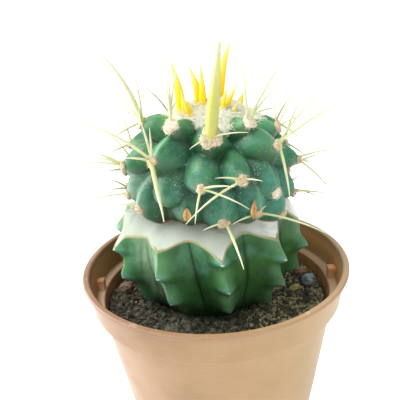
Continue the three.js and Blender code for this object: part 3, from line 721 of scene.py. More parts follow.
# %% The pot's mesh
POT_SEGMENTS = 144
DRAIN_SIDES = 24
DRAIN_CUT_MIDDLE, DRAIN_CUT_HEIGHT = 2, 8
LUGS = 4
LUG_SIZE = (2.6, 3, 4.2)  # depth, width and height
LUG_SINK = 0.5
LUG_EDGE = 0.3
FIRST_LUG = -1.5  # azimuth
WALL_MIDDLE_RADII = (27.5, 37.2, 38.9, 40.9)  # at the floor, the body's top, the ledge and the rim
SHARP_EDGE = 32  # degrees between two faces


def finer_profile(corners, step=3.0):
    """The same profile with extra points along its long runs, so that masks can change along them."""
    fine = [corners[0]]
    for (r0, z0), (r1, z1) in zip(corners, corners[1:]):
        parts = max(1, round(math.hypot(r1 - r0, z1 - z0) / step))
        fine += [(r0 + (r1 - r0) * k / parts, z0 + (z1 - z0) * k / parts) for k in range(1, parts + 1)]
    return fine


def pot_shell():
    profile = finer_profile(POT_CORNERS)
    turn_around = level(np.arange(POT_SEGMENTS) * 360 / POT_SEGMENTS)
    points = [np.array([[0, 0, 0]])]
    for radius, height in profile:
        points.append(turn_around * radius + np.array([0, 0, height]))
    points.append(np.array([[0, 0, WALL]]))
    faces = ringed_faces(len(profile), POT_SEGMENTS)
    return mesh_object("pot_shell", np.concatenate(points), faces)


def cut_or_join(target, tool, operation):
    """Cuts or joins one mesh with another, and removes the tool."""
    modifier = target.modifiers.new(operation.lower(), "BOOLEAN")
    modifier.operation = operation
    modifier.object = tool
    modifier.solver = "EXACT"
    result = evaluated_mesh(target)
    target.modifiers.remove(modifier)
    target.data = result
    bpy.data.objects.remove(tool)


def drain_tool():
    shape = bmesh.new()
    for index in range(DRAIN_HOLES):
        middle = level(np.array((index + 0.5) * 360 / DRAIN_HOLES)) * DRAIN_CIRCLE * MM
        place = Matrix.Translation((middle[0], middle[1], DRAIN_CUT_MIDDLE * MM))
        bmesh.ops.create_cone(
            shape, cap_ends=True, segments=DRAIN_SIDES, radius1=DRAIN_RADIUS * MM,
            radius2=DRAIN_RADIUS * MM, depth=DRAIN_CUT_HEIGHT * MM, matrix=place,
        )
    return tool_object("drain holes", shape)


def lug_tool():
    """Small blocks, sunk a little into the ledge, that keep stacked pots apart."""
    depth, width, height = LUG_SIZE
    size = Matrix.Diagonal((depth * MM, width * MM, height * MM, 1))
    from_axis = COLLAR_FOOT_RADIUS - WALL + POT_EDGE - depth / 2
    middle = Vector((from_axis, 0, LEDGE_TOP - LUG_SINK + height / 2))
    shape = bmesh.new()
    for index in range(LUGS):
        turn = Matrix.Rotation(math.radians(360 / LUGS * index + FIRST_LUG), 4, "Z")
        bmesh.ops.create_cube(shape, size=1, matrix=turn @ Matrix.Translation(middle * MM) @ size)
    edges = shape.edges[:]
    bmesh.ops.bevel(shape, geom=edges, offset=LUG_EDGE * MM, segments=2, affect="EDGES", profile=0.5)
    return tool_object("lugs", shape)


def tool_object(name, shape):
    mesh = bpy.data.meshes.new(name)
    shape.to_mesh(mesh)
    shape.free()
    return in_scene(name, mesh)


def pot_masks(mesh):
    """Marks the inner side, the rim, the ledge and the dusty band over the soil."""
    points = np.array([vertex.co for vertex in mesh.vertices]) / MM
    radius = np.hypot(points[:, 0], points[:, 1])
    height = points[:, 2]
    middle_line = np.interp(height, (WALL, BODY_TOP, LEDGE_TOP, POT_HEIGHT), WALL_MIDDLE_RADII)
    inner = smooth_step(0.3, -0.3, radius - middle_line) * (height > 0.5)
    masks = {
        "inner": inner,
        "rim": smooth_step(POT_HEIGHT - 1.6, POT_HEIGHT - 1.2, height),
        "dust": inner * smooth_step(LEDGE_TOP - 1, SOIL_LEVEL, height) * 0.8,
        "ledge": inner * (np.abs(height - LEDGE_TOP) < 0.3) * smooth_step(39.2, 38.8, radius),
    }
    carry(mesh, masks)


pot = pot_shell()
cut_or_join(pot, lug_tool(), "UNION")
cut_or_join(pot, drain_tool(), "DIFFERENCE")
pot.name = "nursery_pot"
pot_masks(pot.data)
shade_faces(pot.data)
pot.data.set_sharp_from_angle(angle=math.radians(SHARP_EDGE))
finish_piece(pot, "pot", POT_PLASTIC)

# %% [markdown]
# ## The rootstock
# The rootstock is a ribbed cactus whose top was cut off. Its ribs carry pointed bumps, the valleys
# between them are fine dark lines, and a grower has bevelled the cut with a knife so that it dries
# without lifting the head. The ribs are a rule of azimuth and height, so they are made from that rule.

# %% The rootstock's rule
STOCK_FOOT = np.array([-2.6, 5.8, SOIL_LEVEL])
STOCK_LEAN = leaning(4, 6)
RIBS = 10
FIRST_RIB = 4.2
RIB_TWIST = 0.43
CUT_HEIGHT = 21.4
CREST_RADIUS = 31
FOOT_NARROWING = 10.3
FOOT_CURVE = 2.75
VALLEY_DEPTH = 5.3
VALLEY_ROUNDING = 0.45
TOOTH_REACH = 3.2
TOOTH_TOP = 3.6
TOOTH_UNDER = 1.6
TOOTH_STEP = 9
TOOTH_SHARE = 0.3
CREST_DIP = 1.1
BEVEL_SLOPE = 0.7
BEVEL_RADIUS = 31
SEAT_RADIUS = 17
DEEP_BEVEL_MIDDLE, DEEP_BEVEL_FULL, DEEP_BEVEL_END = -9, 42, 78
LIGHT_BEVEL_SLOPE, LIGHT_BEVEL_RISE, LIGHT_BEVEL_RIGHT_DROP = 1.67, 2.7, 3.2
CUT_SLOPE = (0.1, -0.06)
STUB_RADIUS = 9
STUB_DEPTH = 14
STUB_TAPER = 8
FIRST_BUMPS = {0: 3.1, 1: 1.5, 2: -0.6, 7: 1.2, 8: 0.8, 9: -2.8}  # the others alternate between 4 and 0


def bevel_lightness(x, y):
    """How lightly the rim was bevelled: 0 in front, where the knife went deep, and 1 round the back."""
    azimuth = np.degrees(np.arctan2(x, -y))
    away = np.abs((azimuth - DEEP_BEVEL_MIDDLE + 180) % 360 - 180)
    return smooth_step(DEEP_BEVEL_FULL, DEEP_BEVEL_END, away)


def cut_height(x, y):
    """Height of the cut face: flat under the head and bevelled outside it."""
    radius = np.hypot(x, y)
    lightness = bevel_lightness(x, y)
    slope = BEVEL_SLOPE + (LIGHT_BEVEL_SLOPE - BEVEL_SLOPE) * lightness
    rise = lightness * (LIGHT_BEVEL_RISE - LIGHT_BEVEL_RIGHT_DROP * x / np.maximum(radius, 1e-9))
    seat = BEVEL_SLOPE * (BEVEL_RADIUS - SEAT_RADIUS)
    bevel = np.minimum(slope * (BEVEL_RADIUS - radius) + rise, seat)
    return CUT_HEIGHT + bevel + CUT_SLOPE[0] * x + CUT_SLOPE[1] * y


def stock_azimuth(rib, phase, height):
    return FIRST_RIB + 360 / RIBS * (rib + phase - 0.5) - RIB_TWIST * (height - CUT_HEIGHT)


def bump_heights(rib):
    """Heights of the areole bumps on a rib. A bump over the cut is moved far down, out of reach."""
    first = FIRST_BUMPS.get(rib, 0 if rib % 2 else 4)
    tip = level(stock_azimuth(rib, 0.5, CUT_HEIGHT)) * CREST_RADIUS
    top = cut_height(tip[0], tip[1]) - 0.5
    heights = [first + TOOTH_STEP * step for step in range(4)]
    return [height if height < top else -99 for height in heights]


BUMPS = np.array([bump_heights(rib) for rib in range(RIBS)], float)


def crest_radius(height):
    risen = np.clip(height / CUT_HEIGHT, 0, 1)
    above = CREST_RADIUS - FOOT_NARROWING * (1 - risen) ** FOOT_CURVE
    into_soil = smooth_step(0, STUB_TAPER, -height)
    return above + (STUB_RADIUS - above) * into_soil


def tooth_profile(rib, height):
    """How far the bumps of a rib stand out at a height: slowly from above, sharply below."""
    above = height[..., None] - BUMPS[rib]
    spread = np.where(above > 0, TOOTH_TOP, TOOTH_UNDER)
    return np.exp(-((above / spread) ** 2)).sum(axis=-1)


def valley_share(across):
    """Share of the valley's depth across half a rib: straight from the crest, rounded at the bottom."""
    start = math.hypot(1, VALLEY_ROUNDING)
    return (start - np.hypot(1 - across, VALLEY_ROUNDING)) / (start - VALLEY_ROUNDING)


def stock_radius(rib, phase, height):
    across = np.abs(phase - 0.5) * 2
    depth = VALLEY_DEPTH * smooth_step(-6, 8, height)
    on_crest = np.exp(-((across / TOOTH_SHARE) ** 2)) * smooth_step(-2, 2, height)
    teeth = TOOTH_REACH * tooth_profile(rib, height) - CREST_DIP
    return crest_radius(height) - depth * valley_share(across) + teeth * on_crest


print("rib tips at", CUT_HEIGHT, "mm, bumps per rib:", BUMPS.shape[1])

# %% Knife strokes on the cut face
KNIFE_STROKES = 6
FIRST_STROKE = -36  # azimuth of an edge between two strokes, near the tip of the left front rib
STROKE_SHARE = 0.3
STROKE_FADE = 4  # how far outside the seat the strokes reach their full depth
MEAN_BULGE = 0.045  # share of the radius


def knife_relief(x, y):
    """A bevel is cut in flat strokes, which meet in shallow edges."""
    azimuth = np.degrees(np.arctan2(x, -y))
    pitch = 360 / KNIFE_STROKES
    from_middle = (azimuth - FIRST_STROKE) % pitch - pitch / 2
    radius = np.hypot(x, y)
    bulge = radius * (1 - np.cos(np.radians(from_middle)))
    mean = radius * MEAN_BULGE
    off_seat = smooth_step(SEAT_RADIUS, SEAT_RADIUS + STROKE_FADE, radius)
    return STROKE_SHARE * BEVEL_SLOPE * (bulge - mean) * off_seat


def visual_cut_height(x, y):
    return cut_height(x, y) + knife_relief(x, y)


print("strokes:", KNIFE_STROKES)

# %% The rootstock's mesh
LINES_PER_RIB = 44
STOCK_ROWS = 84
CUT_RINGS = 26
STUB_RING_HEIGHTS = (-STUB_DEPTH, -8.0, -5.0, -2.5)
EDGE_STEPS = 8
CUT_RING_START, CUT_RING_SPAN, CUT_RING_CROWDING = 0.004, 0.99, 1.2  # shares of the way inwards
CREASE_DEPTH = 0.7
CREASE_FOOT, CREASE_TOP = (0, 5), (26, 20)  # heights over which the crease comes and goes
CREASE_WIDTH = 0.045  # share of half a rib, as the next widths are
RIDGE_WIDTH, WAXY_WIDTH, AREOLE_WIDTH = 0.24, 0.3, 0.09
WAXY_REACH, AREOLE_REACH = 1.8, 0.4
WAVE_HEIGHT, WAVE_SIZE = 0.22, 6.0
PALE_FACE_RIB = 9


def stock_lines():
    line = np.arange(RIBS * LINES_PER_RIB)
    return line // LINES_PER_RIB, (line % LINES_PER_RIB) / LINES_PER_RIB


def stock_side(rib, phase, height):
    """Points on the ribbed side, with the fine crease of the valleys and slow waves of growth."""
    across = np.abs(phase - 0.5) * 2
    seen = smooth_step(*CREASE_FOOT, height) * smooth_step(*CREASE_TOP, height)
    crease = CREASE_DEPTH * np.exp(-(1 - across) / CREASE_WIDTH) * seen
    outward = level(stock_azimuth(rib, phase, height))
    points = outward * (stock_radius(rib, phase, height) - crease)[:, None]
    points[:, 2] = height
    waves = WAVE_HEIGHT * rough(points, WAVE_SIZE) * smooth_step(-3, 2, height)
    return points + outward * waves[:, None]


def edge_heights(rib, phase):
    """Where each line of the side runs out into the cut face, found by stepping towards it."""
    height = np.full(len(rib), float(CUT_HEIGHT))
    for _ in range(EDGE_STEPS):
        points = stock_side(rib, phase, height)
        height = visual_cut_height(points[:, 0], points[:, 1])
    return height


def stock_masks(rib, phase, height, edge):
    """What the material asks for on the side: where each mark or tint lies, from 0 to 1."""
    across = np.abs(phase - 0.5) * 2
    return {
        "cut": np.zeros(len(rib)),
        "margin": smooth_step(0.75, 0.15, edge - height),
        "crease": np.exp(-(1 - across) / 0.05),
        "ridge": near_crest(phase, RIDGE_WIDTH),
        "tooth": near_bumps(rib, height, AREOLE_REACH) * near_crest(phase, AREOLE_WIDTH),
        "waxy": near_bumps(rib, height, WAXY_REACH) * near_crest(phase, WAXY_WIDTH),
        "pale_streaks": pale_streaked_face(rib, phase),
        "low": smooth_step(8.0, 0.0, height),
    }


def near_crest(phase, width):
    """1 along the crest of a rib, fading over a share of half the rib."""
    return np.exp(-((np.abs(phase - 0.5) * 2 / width) ** 2))


def near_bumps(rib, height, reach):
    """1 at the tip of each bump, where the small white areole sits, fading over a reach in mm."""
    return np.exp(-(((height[..., None] - BUMPS[rib]) / reach) ** 2)).sum(axis=-1)


def pale_streaked_face(rib, phase):
    """The paler face at the left front, on both sides of one valley."""
    left_flank = np.where(rib == PALE_FACE_RIB, smooth_step(0.52, 0.42, phase), 0)
    valley_side = np.where(rib == PALE_FACE_RIB - 1, smooth_step(0.6, 0.9, phase), 0)
    return left_flank + valley_side


def cut_ring(edge_points, share):
    """A ring of the cut face, a share of the way from its edge to its middle."""
    flat = edge_points[:, :2] * (1 - share)
    return np.column_stack([flat, visual_cut_height(flat[:, 0], flat[:, 1])])


def stock_mesh():
    rib, phase = stock_lines()
    edge = edge_heights(rib, phase)
    rings, masks = [], []
    for height in STUB_RING_HEIGHTS:
        level_height = np.full(len(rib), float(height))
        rings.append(stock_side(rib, phase, level_height))
        masks.append(stock_masks(rib, phase, level_height, edge))
    for row in range(STOCK_ROWS + 1):
        height = edge * row / STOCK_ROWS
        rings.append(stock_side(rib, phase, height))
        masks.append(stock_masks(rib, phase, height, edge))
    edge_points = rings[-1]
    for row in range(CUT_RINGS):
        share = CUT_RING_START + CUT_RING_SPAN * (row / CUT_RINGS) ** CUT_RING_CROWDING
        ring = cut_ring(edge_points, share)
        rings.append(ring)
        inward = np.hypot(*(edge_points - ring)[:, :2].T)
        masks.append({
            **{label: np.zeros(len(rib)) for label in masks[0]},
            "cut": np.ones(len(rib)),
            "margin": smooth_step(0.6, 0.0, inward),
            "ridge": near_crest(phase, RIDGE_WIDTH),
        })
    foot, top = np.array([[0, 0, -STUB_DEPTH]]), np.array([[0, 0, cut_height(0, 0)]])
    points = np.concatenate([foot, *rings, top]) @ STOCK_LEAN.T + STOCK_FOOT
    joined = {}
    for label in masks[0]:
        ends = (masks[0][label][:1], masks[-1][label][:1])
        joined[label] = np.concatenate([ends[0], *(mask[label] for mask in masks), ends[1]])
    return mesh_object("ribbed_rootstock", points, ringed_faces(len(rings), len(rib)), joined)


rootstock = stock_mesh()
print("rootstock:", len(rootstock.data.vertices), "points")

# %% The rootstock's material


def stock_material():
    """Waxy green skin, paler on the ridges, with painted shade in the valley lines and at the foot, and a
    grey-white callus where the knife has cut.
    """
    material, tree, shader, place = new_material("rootstock skin and callus")
    ridge = attribute_mask(tree, "ridge")
    margin = attribute_mask(tree, "margin")
    cut = attribute_mask(tree, "cut")
    values = {
        "Place": place,
        "Green": (0.042, 0.155, 0.04, 1),
        "Deep green": (0.015, 0.07, 0.02, 1),
        "Bloom": (0.085, 0.25, 0.16, 1),
        "Bloom amount": ramp(tree, cloud(tree, place, 7.0), 0.48, 0.68, 0.0, 0.7),
        # Painted shade: the fine valley lines are darkened.
        "Crease shade": times(tree, attribute_mask(tree, "crease"), 0.8),
    }
    skin = use_effect(tree, WAXY_SKIN, values)
    ridged = laid_over(tree, skin["Colour"], (0.13, 0.33, 0.14, 1), ridge, 0.45)
    # Paler streaks, drawn out upright, on the face at the left front.
    streaks = ramp(tree, cloud(tree, stretched(tree, place, (1, 1, 0.14)), 1.3, 3.0), 0.35, 0.6, 0.35, 0.9)
    lightened = laid_over(tree, ridged, (0.2, 0.33, 0.2, 1), attribute_mask(tree, "pale_streaks"), streaks)
    rimmed = laid_over(tree, lightened, (0.4, 0.4, 0.2, 1), margin, 0.8)
    # Painted shade: the skin darkens to a near-black green towards its foot.
    shaded_foot = laid_over(tree, rimmed, (0.01, 0.026, 0.009, 1), attribute_mask(tree, "low"), 0.75)
    waxy = ramp(tree, attribute_mask(tree, "waxy"), 0.3, 1.0, 0.0, 0.75)
    tipped = blend_colours(tree, waxy, shaded_foot, (0.13, 0.36, 0.27, 1))
    areoles = ramp(tree, attribute_mask(tree, "tooth"), 0.4, 0.9)
    green = blend_colours(tree, areoles, tipped, (0.8, 0.82, 0.72, 1))
    callus, callus_height = callus_look(tree, place, margin, ridge)
    colour = blend_colours(tree, cut, green, callus)
    roughness = maths(tree, "ADD", skin["Roughness"], ramp(tree, cut, 0.0, 1.0, 0.0, 0.45))
    height = maths(tree, "ADD", times(tree, skin["Height"], 0.4), times(tree, callus_height, cut))
    finish_material(tree, shader, colour, roughness, height, 0.12, shine=0.3)
    return material


def callus_look(tree, place, margin, ridge):
    """Dried cut flesh: chalky grey-white, faintly green, whiter at the right as painted light, with wrinkles,
    a tan margin and brown rib tips.
    """
    stains = ramp(tree, cloud(tree, place, 5.0, 4.0), 0.38, 0.66)
    # Painted light: the callus turns from grey at the left to nearly white at the right, standing in for
    # light falling there.
    lit_right = ramp(tree, rightward(tree, place, 22.0), 0.5, 0.88)
    clean = blend_colours(tree, lit_right, (0.395, 0.435, 0.375, 1), (0.97, 1.0, 0.94, 1))
    body = laid_over(tree, clean, (0.36, 0.4, 0.33, 1), stains, 0.6)
    wrinkles = cloud(tree, place, 0.9, 5.0)
    lined = blend_colours(tree, ramp(tree, wrinkles, 0.25, 0.42, 0.35, 0.0), body, (0.4, 0.36, 0.26, 1))
    tan_edge = blend_colours(tree, ramp(tree, margin, 0.45, 0.95), lined, (0.42, 0.27, 0.12, 1))
    rib_tips = ramp(tree, ridge, 0.3, 0.9, 0.0, 0.85)
    scorched = laid_over(tree, tan_edge, (0.3, 0.12, 0.03, 1), ramp(tree, margin, 0.1, 0.6), rib_tips)
    return scorched, wrinkles


STOCK_SKIN = stock_material()
finish_piece(rootstock, "rootstock", STOCK_SKIN)

# %% [markdown]
# ## The head
# The head is a cluster of tubercles, lobes that each end in a spiny areole. Every lobe has a direction
# from the middle of the head, a half width and a shape from keeled to round. The distance of the skin
# along any direction is the soft maximum of all lobes, which gives the sharp furrows between them.

# %% The head's tubercles
HEAD_CENTRE = np.array([0.5, 7, 101])
HEAD_LEAN = leaning(4, 0)
HEAD_GIRTH = 27
HEAD_RISE = 16
HEAD_DROP = 20
HEAD_BACK_DROP = 6
HEAD_SQUARENESS = 2.4
FURROW = 6.5
HEM_FURROW = 1.8
FLANK = 8
SOFTNESS = 0.15
CROWN_STRETCH = 1.3

# Azimuth, elevation, half width, roundness, growth and reach down of each tubercle in view
FRONT_TUBERCLES = {
    "left shoulder": (-82, 30, 8, 0.6, 0.9, 0.8),
    "left crown": (-37, 37, 7, 0.2, 2.2, 1.1),
    "middle crown": (-2, 30.5, 8.8, 0, 1.6, 1.5),
    "right crown": (39, 42, 7, 0.2, 1.8, 1),
    "right shoulder": (72, 30, 7, 0.6, 0.8, 0.8),
    "right front": (48, 20.5, 9, 0.2, 1.1, 1.35),
    "right edge": (82, 3, 7, 0.5, 1, 0.8),
    "left front": (-38.5, 12.5, 9.5, 0.1, 1.2, 1.2),
    "left edge": (-74, 1, 8, 0.5, 0.8, 0.8),
    "middle left": (-7, 0.5, 8.4, 1, 1, 0.55),
    "middle right": (16, 4.5, 7.2, 1, 0.9, 0.55),
    "right belly": (42, -8, 10.5, 0.6, 0.7, 0.7),
    "right low": (76, -18, 8.5, 0.5, 1.4, 0.8),
    "left belly": (-32, -11, 10, 0.7, 0.6, 0.7),
    "left low": (-70, -17, 9.5, 0.6, 1, 0.9),
    "left hem": (-20, -24, 11.5, 0.7, -0.6, 1.2),
    "middle hem": (7, -24, 11, 0.7, 0.8, 1.1),
    "right hem": (31, -20, 12.5, 0.5, 0.5, 1.3),
    "right skirt": (51, -23, 9, 0.6, 2.8, 1.5),
    "left skirt": (-52, -20, 8.5, 0.6, 2, 2),
}
BACK_TIERS = {
    27: (108, 144, 180, 216, 252),
    6: (112, 140, 167, 194, 222, 250),
    -9: (104, 132, 160, 188, 216, 244, 268),
    -22: (92, 125, 160, 195, 230, 265),
}
BACK_HALF_WIDTH, BACK_ROUNDNESS, BACK_GROWTH, BACK_REACH_DOWN = 8.4, 0.4, 0.6, 0.9
AZIMUTH_JITTER, ELEVATION_JITTER = 4, 3


def seeded_random(seed):
    """The same row of numbers from 0 to 1 that placed the solids of the back."""
    factor, modulus = 16807, 2147483647
    state = seed
    while True:
        state = state * factor % modulus
        yield state / modulus


def form_distance(outward):
    """Distance of the outer form that the tubercle tips reach."""
    across = np.hypot(outward[..., 0], outward[..., 1])
    backward = (1 + outward[..., 1] / np.maximum(across, 1e-9)) / 2
    depth = np.where(outward[..., 2] > 0, HEAD_RISE, HEAD_DROP + HEAD_BACK_DROP * backward)
    total = (across / HEAD_GIRTH) ** HEAD_SQUARENESS + (np.abs(outward[..., 2]) / depth) ** HEAD_SQUARENESS
    return total ** (-1 / HEAD_SQUARENESS)


def tubercle(name, azimuth, elevation, half_width, roundness, growth, reach_down):
    tip = direction(azimuth, elevation)
    right = np.array([math.cos(math.radians(azimuth)), math.sin(math.radians(azimuth)), 0])
    crownward = np.cross(right, tip)
    crownward *= 1 if crownward[2] >= 0 else -1
    reach = float(form_distance(tip)) + growth
    return {
        "name": name, "tip": tip, "right": right, "crownward": crownward,
        "half_width": half_width, "roundness": roundness, "reach": reach, "reach_down": reach_down,
    }


def back_tubercles():
    draw = seeded_random(11)
    made = []
    for elevation, azimuths in BACK_TIERS.items():
        for azimuth in azimuths:
            turned = azimuth + AZIMUTH_JITTER * (2 * next(draw) - 1)
            raised = elevation + ELEVATION_JITTER * (2 * next(draw) - 1)
            shape = (BACK_HALF_WIDTH, BACK_ROUNDNESS, BACK_GROWTH, BACK_REACH_DOWN)
            made.append(tubercle("back", turned, raised, *shape))
    return made


TUBERCLES = [tubercle(name, *sizes) for name, sizes in FRONT_TUBERCLES.items()] + back_tubercles()
print("tubercles:", len(TUBERCLES))

# %% The head's surface
CREASE_REACH = 0.5  # cosine of the widest angle at which a tubercle still counts
OUTLINE_POWER, OUTLINE_GAIN = 1.35, 0.65  # of a keeled tubercle, and what a round one adds
STEEPNESS, STEEPNESS_GAIN = 1.25, 0.6
KEEL_WIDTH = 0.07
NEAR_TIP = (3.4, 1.2)
FURROW_WIDTH, SHADE_WIDTH = 0.5, 2.2


def tubercle_measures(each, outward):
    """Distance of one tubercle's surface, and how far across and towards the crown a point lies."""
    across = outward @ each["right"] * each["reach"] / each["half_width"]
    along = outward @ each["crownward"] * each["reach"] / each["half_width"]
    lengthwise = np.where(along > 0, along / CROWN_STRETCH, -along / each["reach_down"])
    outline = OUTLINE_POWER + OUTLINE_GAIN * each["roundness"]
    steepness = STEEPNESS + STEEPNESS_GAIN * each["roundness"]
    away = (np.abs(across) ** outline + lengthwise**outline) ** (1 / outline)
    distance = each["reach"] - FLANK * away**steepness
    return np.where(outward @ each["tip"] < CREASE_REACH, 0, distance), across, along


def head_distance(outward):
    flesh = form_distance(outward) - HEM_FURROW
    flesh -= (FURROW - HEM_FURROW) * smooth_step(-0.6, -0.15, outward[..., 2])
    total = np.ones(outward.shape[:-1])
    for each in TUBERCLES:
        total += np.exp((tubercle_measures(each, outward)[0] - flesh) / SOFTNESS)
    return flesh + SOFTNESS * np.log(total)


def head_masks(outward, distance):
    """What the skin's material asks for: furrows, keels, closeness to an areole, and the underside."""
    best = np.full(len(outward), -1e9)
    second = np.full(len(outward), -1e9)
    keel, near_tip, under = (np.zeros(len(outward)) for _ in range(3))
    for each in TUBERCLES:
        height, across, along = tubercle_measures(each, outward)
        leads = height > best
        second = np.where(leads, best, np.maximum(second, height))
        best = np.where(leads, height, best)
        sharpness = 1 - each["roundness"]
        line = np.exp(-((across / KEEL_WIDTH) ** 2)) * sharpness * smooth_step(-0.05, 0.2, along)
        keel = np.where(leads, line, keel)
        spread = np.hypot(across, along) * each["half_width"]
        near_tip = np.where(leads, smooth_step(*NEAR_TIP, spread), near_tip)
        lower_face = smooth_step(0.08, -0.3, along) * (1 - 0.5 * each["roundness"])
        under = np.where(leads, lower_face, under)
    beside = np.maximum(best - second, 0)
    furrow = np.exp(-beside / FURROW_WIDTH)
    shade = np.exp(-beside / SHADE_WIDTH)
    depth = smooth_step(0.4, 3.0, form_distance(outward) - distance)
    return {
        "furrow": furrow * depth, "shade": shade * depth, "keel": keel, "near_tip": near_tip,
        "under": under,
    }


print("head reaches", round(float(head_distance(direction(0, 0))), 2), "mm at the front")

# %% The head's mesh
SEAT_CONTACT = 0.05
HEM_BAND, LOW_BAND = (2.2, 0.4), (8.0, 2.0)  # heights over the cut where each mark starts and is full
LUMP_HEIGHT, LUMP_SIZE = 0.16, 3.5
PORE_HEIGHT, PORE_SIZE = 0.05, 0.9
FURROW_CALM = 0.7  # how much of the relief is missing down in a furrow
HEAD_DETAIL = 7


def unit_ball(detail):
    shape = bmesh.new()
    bmesh.ops.create_icosphere(shape, subdivisions=detail, radius=1.0)
    points = np.array([vertex.co for vertex in shape.verts])
    faces = [[vertex.index for vertex in face.verts] for face in shape.faces]
    shape.free()
    return points / np.linalg.norm(points, axis=1)[:, None], faces


def head_to_pot(points):
    return points @ HEAD_LEAN.T + HEAD_CENTRE


def rest_on_cut(points):
    """Lifts what would sink into the rootstock onto the cut face. Marks its hem and its low part."""
    own = (points - STOCK_FOOT) @ STOCK_LEAN
    seat = visual_cut_height(own[:, 0], own[:, 1]) + SEAT_CONTACT
    above = own[:, 2] - seat
    own[:, 2] = np.maximum(own[:, 2], seat)
    return own @ STOCK_LEAN.T + STOCK_FOOT, smooth_step(*HEM_BAND, above), smooth_step(*LOW_BAND, above)


def head_mesh():
    outward, faces = unit_ball(HEAD_DETAIL)
    distance = head_distance(outward)
    masks = head_masks(outward, distance)
    skin = outward * distance[:, None]
    relief = LUMP_HEIGHT * rough(skin, LUMP_SIZE) + PORE_HEIGHT * rough(skin + 40, PORE_SIZE, 2)
    skin += outward * (relief * (1 - FURROW_CALM * masks["furrow"]))[:, None]
    placed, masks["hem"], masks["low"] = rest_on_cut(head_to_pot(skin))
    return mesh_object("cactus_head", placed, faces, masks)


head = head_mesh()
print("head:", len(head.data.vertices), "points")

# %% The head's material


def head_material():
    """Waxy blue-green skin: brighter on the crown, partly as painted light, bluish and dusty at the waist,
    with painted shade in the furrows.
    """
    material, tree, shader, place = new_material("cactus head skin")
    height = coordinate(tree, place, "Z")
    # The green brightens towards the crown: partly painted light from above, partly the fresher green of
    # young growth.
    crown = ramp(tree, height, 0.100, 0.113)
    green = blend_colours(tree, crown, (0.017, 0.1, 0.038, 1), (0.066, 0.235, 0.048, 1))
    fresh = ramp(tree, cloud(tree, place, 6.0, 2.0), 0.46, 0.62, 0.0, 0.7)
    by_height = ramp(tree, height, 0.108, 0.100, 0.4, 0.6)
    waist_bloom = times(tree, by_height, ramp(tree, rightward(tree, place, 15.0), 0.0, 1.0, 0.6, 1.6))
    patches = ramp(tree, cloud(tree, place, 5.0), 0.35, 0.65, 0.3, 1.0)
    # Painted shade: the furrows and the skin beside them turn near-black green, as shade falls there.
    furrow = times(tree, attribute_mask(tree, "furrow"), 0.95)
    beside_furrow = times(tree, attribute_mask(tree, "shade"), 0.85)
    values = {
        "Place": place,
        "Green": laid_over(tree, green, (0.11, 0.31, 0.03, 1), fresh, crown),
        "Deep green": (0.01, 0.068, 0.026, 1),
        "Bloom": (0.06, 0.27, 0.19, 1),
        "Bloom amount": times(tree, waist_bloom, patches),
        "Crease shade": maths(tree, "MAXIMUM", furrow, beside_furrow),
    }
    skin = use_effect(tree, WAXY_SKIN, values)
    dusty = times(tree, ramp(tree, cloud(tree, place, 3.5, 2.0), 0.48, 0.62, 0.0, 0.7), by_height)
    flecks = ramp(tree, cloud(tree, place, 0.42, 2.0), 0.56, 0.68)
    flecked = laid_over(tree, skin["Colour"], (0.5, 0.68, 0.6, 1), dusty, flecks)
    keeled = laid_over(tree, flecked, (0.24, 0.48, 0.27, 1), attribute_mask(tree, "keel"), 0.65)
    # Painted shade on the undersides of the lobes.
    shaded = laid_over(tree, keeled, (0.013, 0.06, 0.012, 1), attribute_mask(tree, "under"), 0.75)
    ringed = laid_over(tree, shaded, (0.3, 0.42, 0.24, 1), attribute_mask(tree, "near_tip"), 0.25)
    # Painted shade low on the head, strongest at the left.
    away_from_light = maths(tree, "SUBTRACT", 1.0, rightward(tree, place, 12.0))
    dim = times(tree, attribute_mask(tree, "low"), ramp(tree, away_from_light, 0.3, 0.8))
    dimmed = laid_over(tree, ringed, (0.012, 0.028, 0.01, 1), dim, 0.95)
    # Painted light: the low lobes at the left edge are paled, as if lit from the left.
    leftmost = ramp(tree, coordinate(tree, place, "X"), -0.018, -0.026)
    low_left = times(tree, leftmost, ramp(tree, height, 0.104, 0.094))
    left_edge_lit = laid_over(tree, dimmed, (0.33, 0.42, 0.33, 1), low_left, 0.6)
    dried_hem = ramp(tree, attribute_mask(tree, "hem"), 0.3, 0.95, 0.0, 0.9)
    dried = blend_colours(tree, dried_hem, left_edge_lit, (0.2, 0.1, 0.035, 1))
    finish_material(tree, shader, dried, skin["Roughness"], skin["Height"], 0.06, shine=0.35)
    return material


HEAD_SKIN = head_material()
finish_piece(head, "head", HEAD_SKIN)

# %% [markdown]
# ## Areoles
# Each lobe ends in an areole, a tan felted spot that holds the spines. The spots are small domes with
# an uneven edge, and a growing rule sets short fibres on them. A few are woolly, mostly near the crown,
# and two lobes low on the left have none.

# %% Areole domes
AREOLE_RADIUS = 1.6
LARGE_AREOLES = {"middle crown": 3.1, "left crown": 2.4, "right crown": 2.2}
BARE_TUBERCLES = ("left belly", "left hem")
PAD_RINGS, PAD_SIDES = 9, 26
PAD_LOBES = ((3, 0.12, 1), (5, 0.08, 2.3))  # waves round the outline, their depth and their shift
PAD_THICKNESS, LARGE_PAD_THICKNESS = 0.85, 1.0
PAD_ROUGHNESS, PAD_TUFT = 0.14, 0.7
PAD_SINK = 0.15
WOOLLY = {"left crown": 0.6, "right crown": 0.75, "middle crown": 0.15, "right belly": 0.8}


def pad_rings(radius, thickness, seed):
    """A squashed dome whose outline wanders, in its own axes."""
    around = np.arange(PAD_SIDES) * math.tau / PAD_SIDES
    waves = (depth * np.sin(count * around + shift * seed) for count, depth, shift in PAD_LOBES)
    outline = sum(waves, 1)
    rings = []
    for ring in range(PAD_RINGS):
        slope = math.pi * (ring + 0.5) / PAD_RINGS
        across = radius * math.sin(slope) * outline
        height = thickness * -math.cos(slope) * np.ones(PAD_SIDES)
        rings.append(np.column_stack([across * np.cos(around), across * np.sin(around), height]))
    ends = np.array([[0, 0, -thickness]]), np.array([[0, 0, thickness]])
    return np.concatenate([ends[0], *rings, ends[1]])


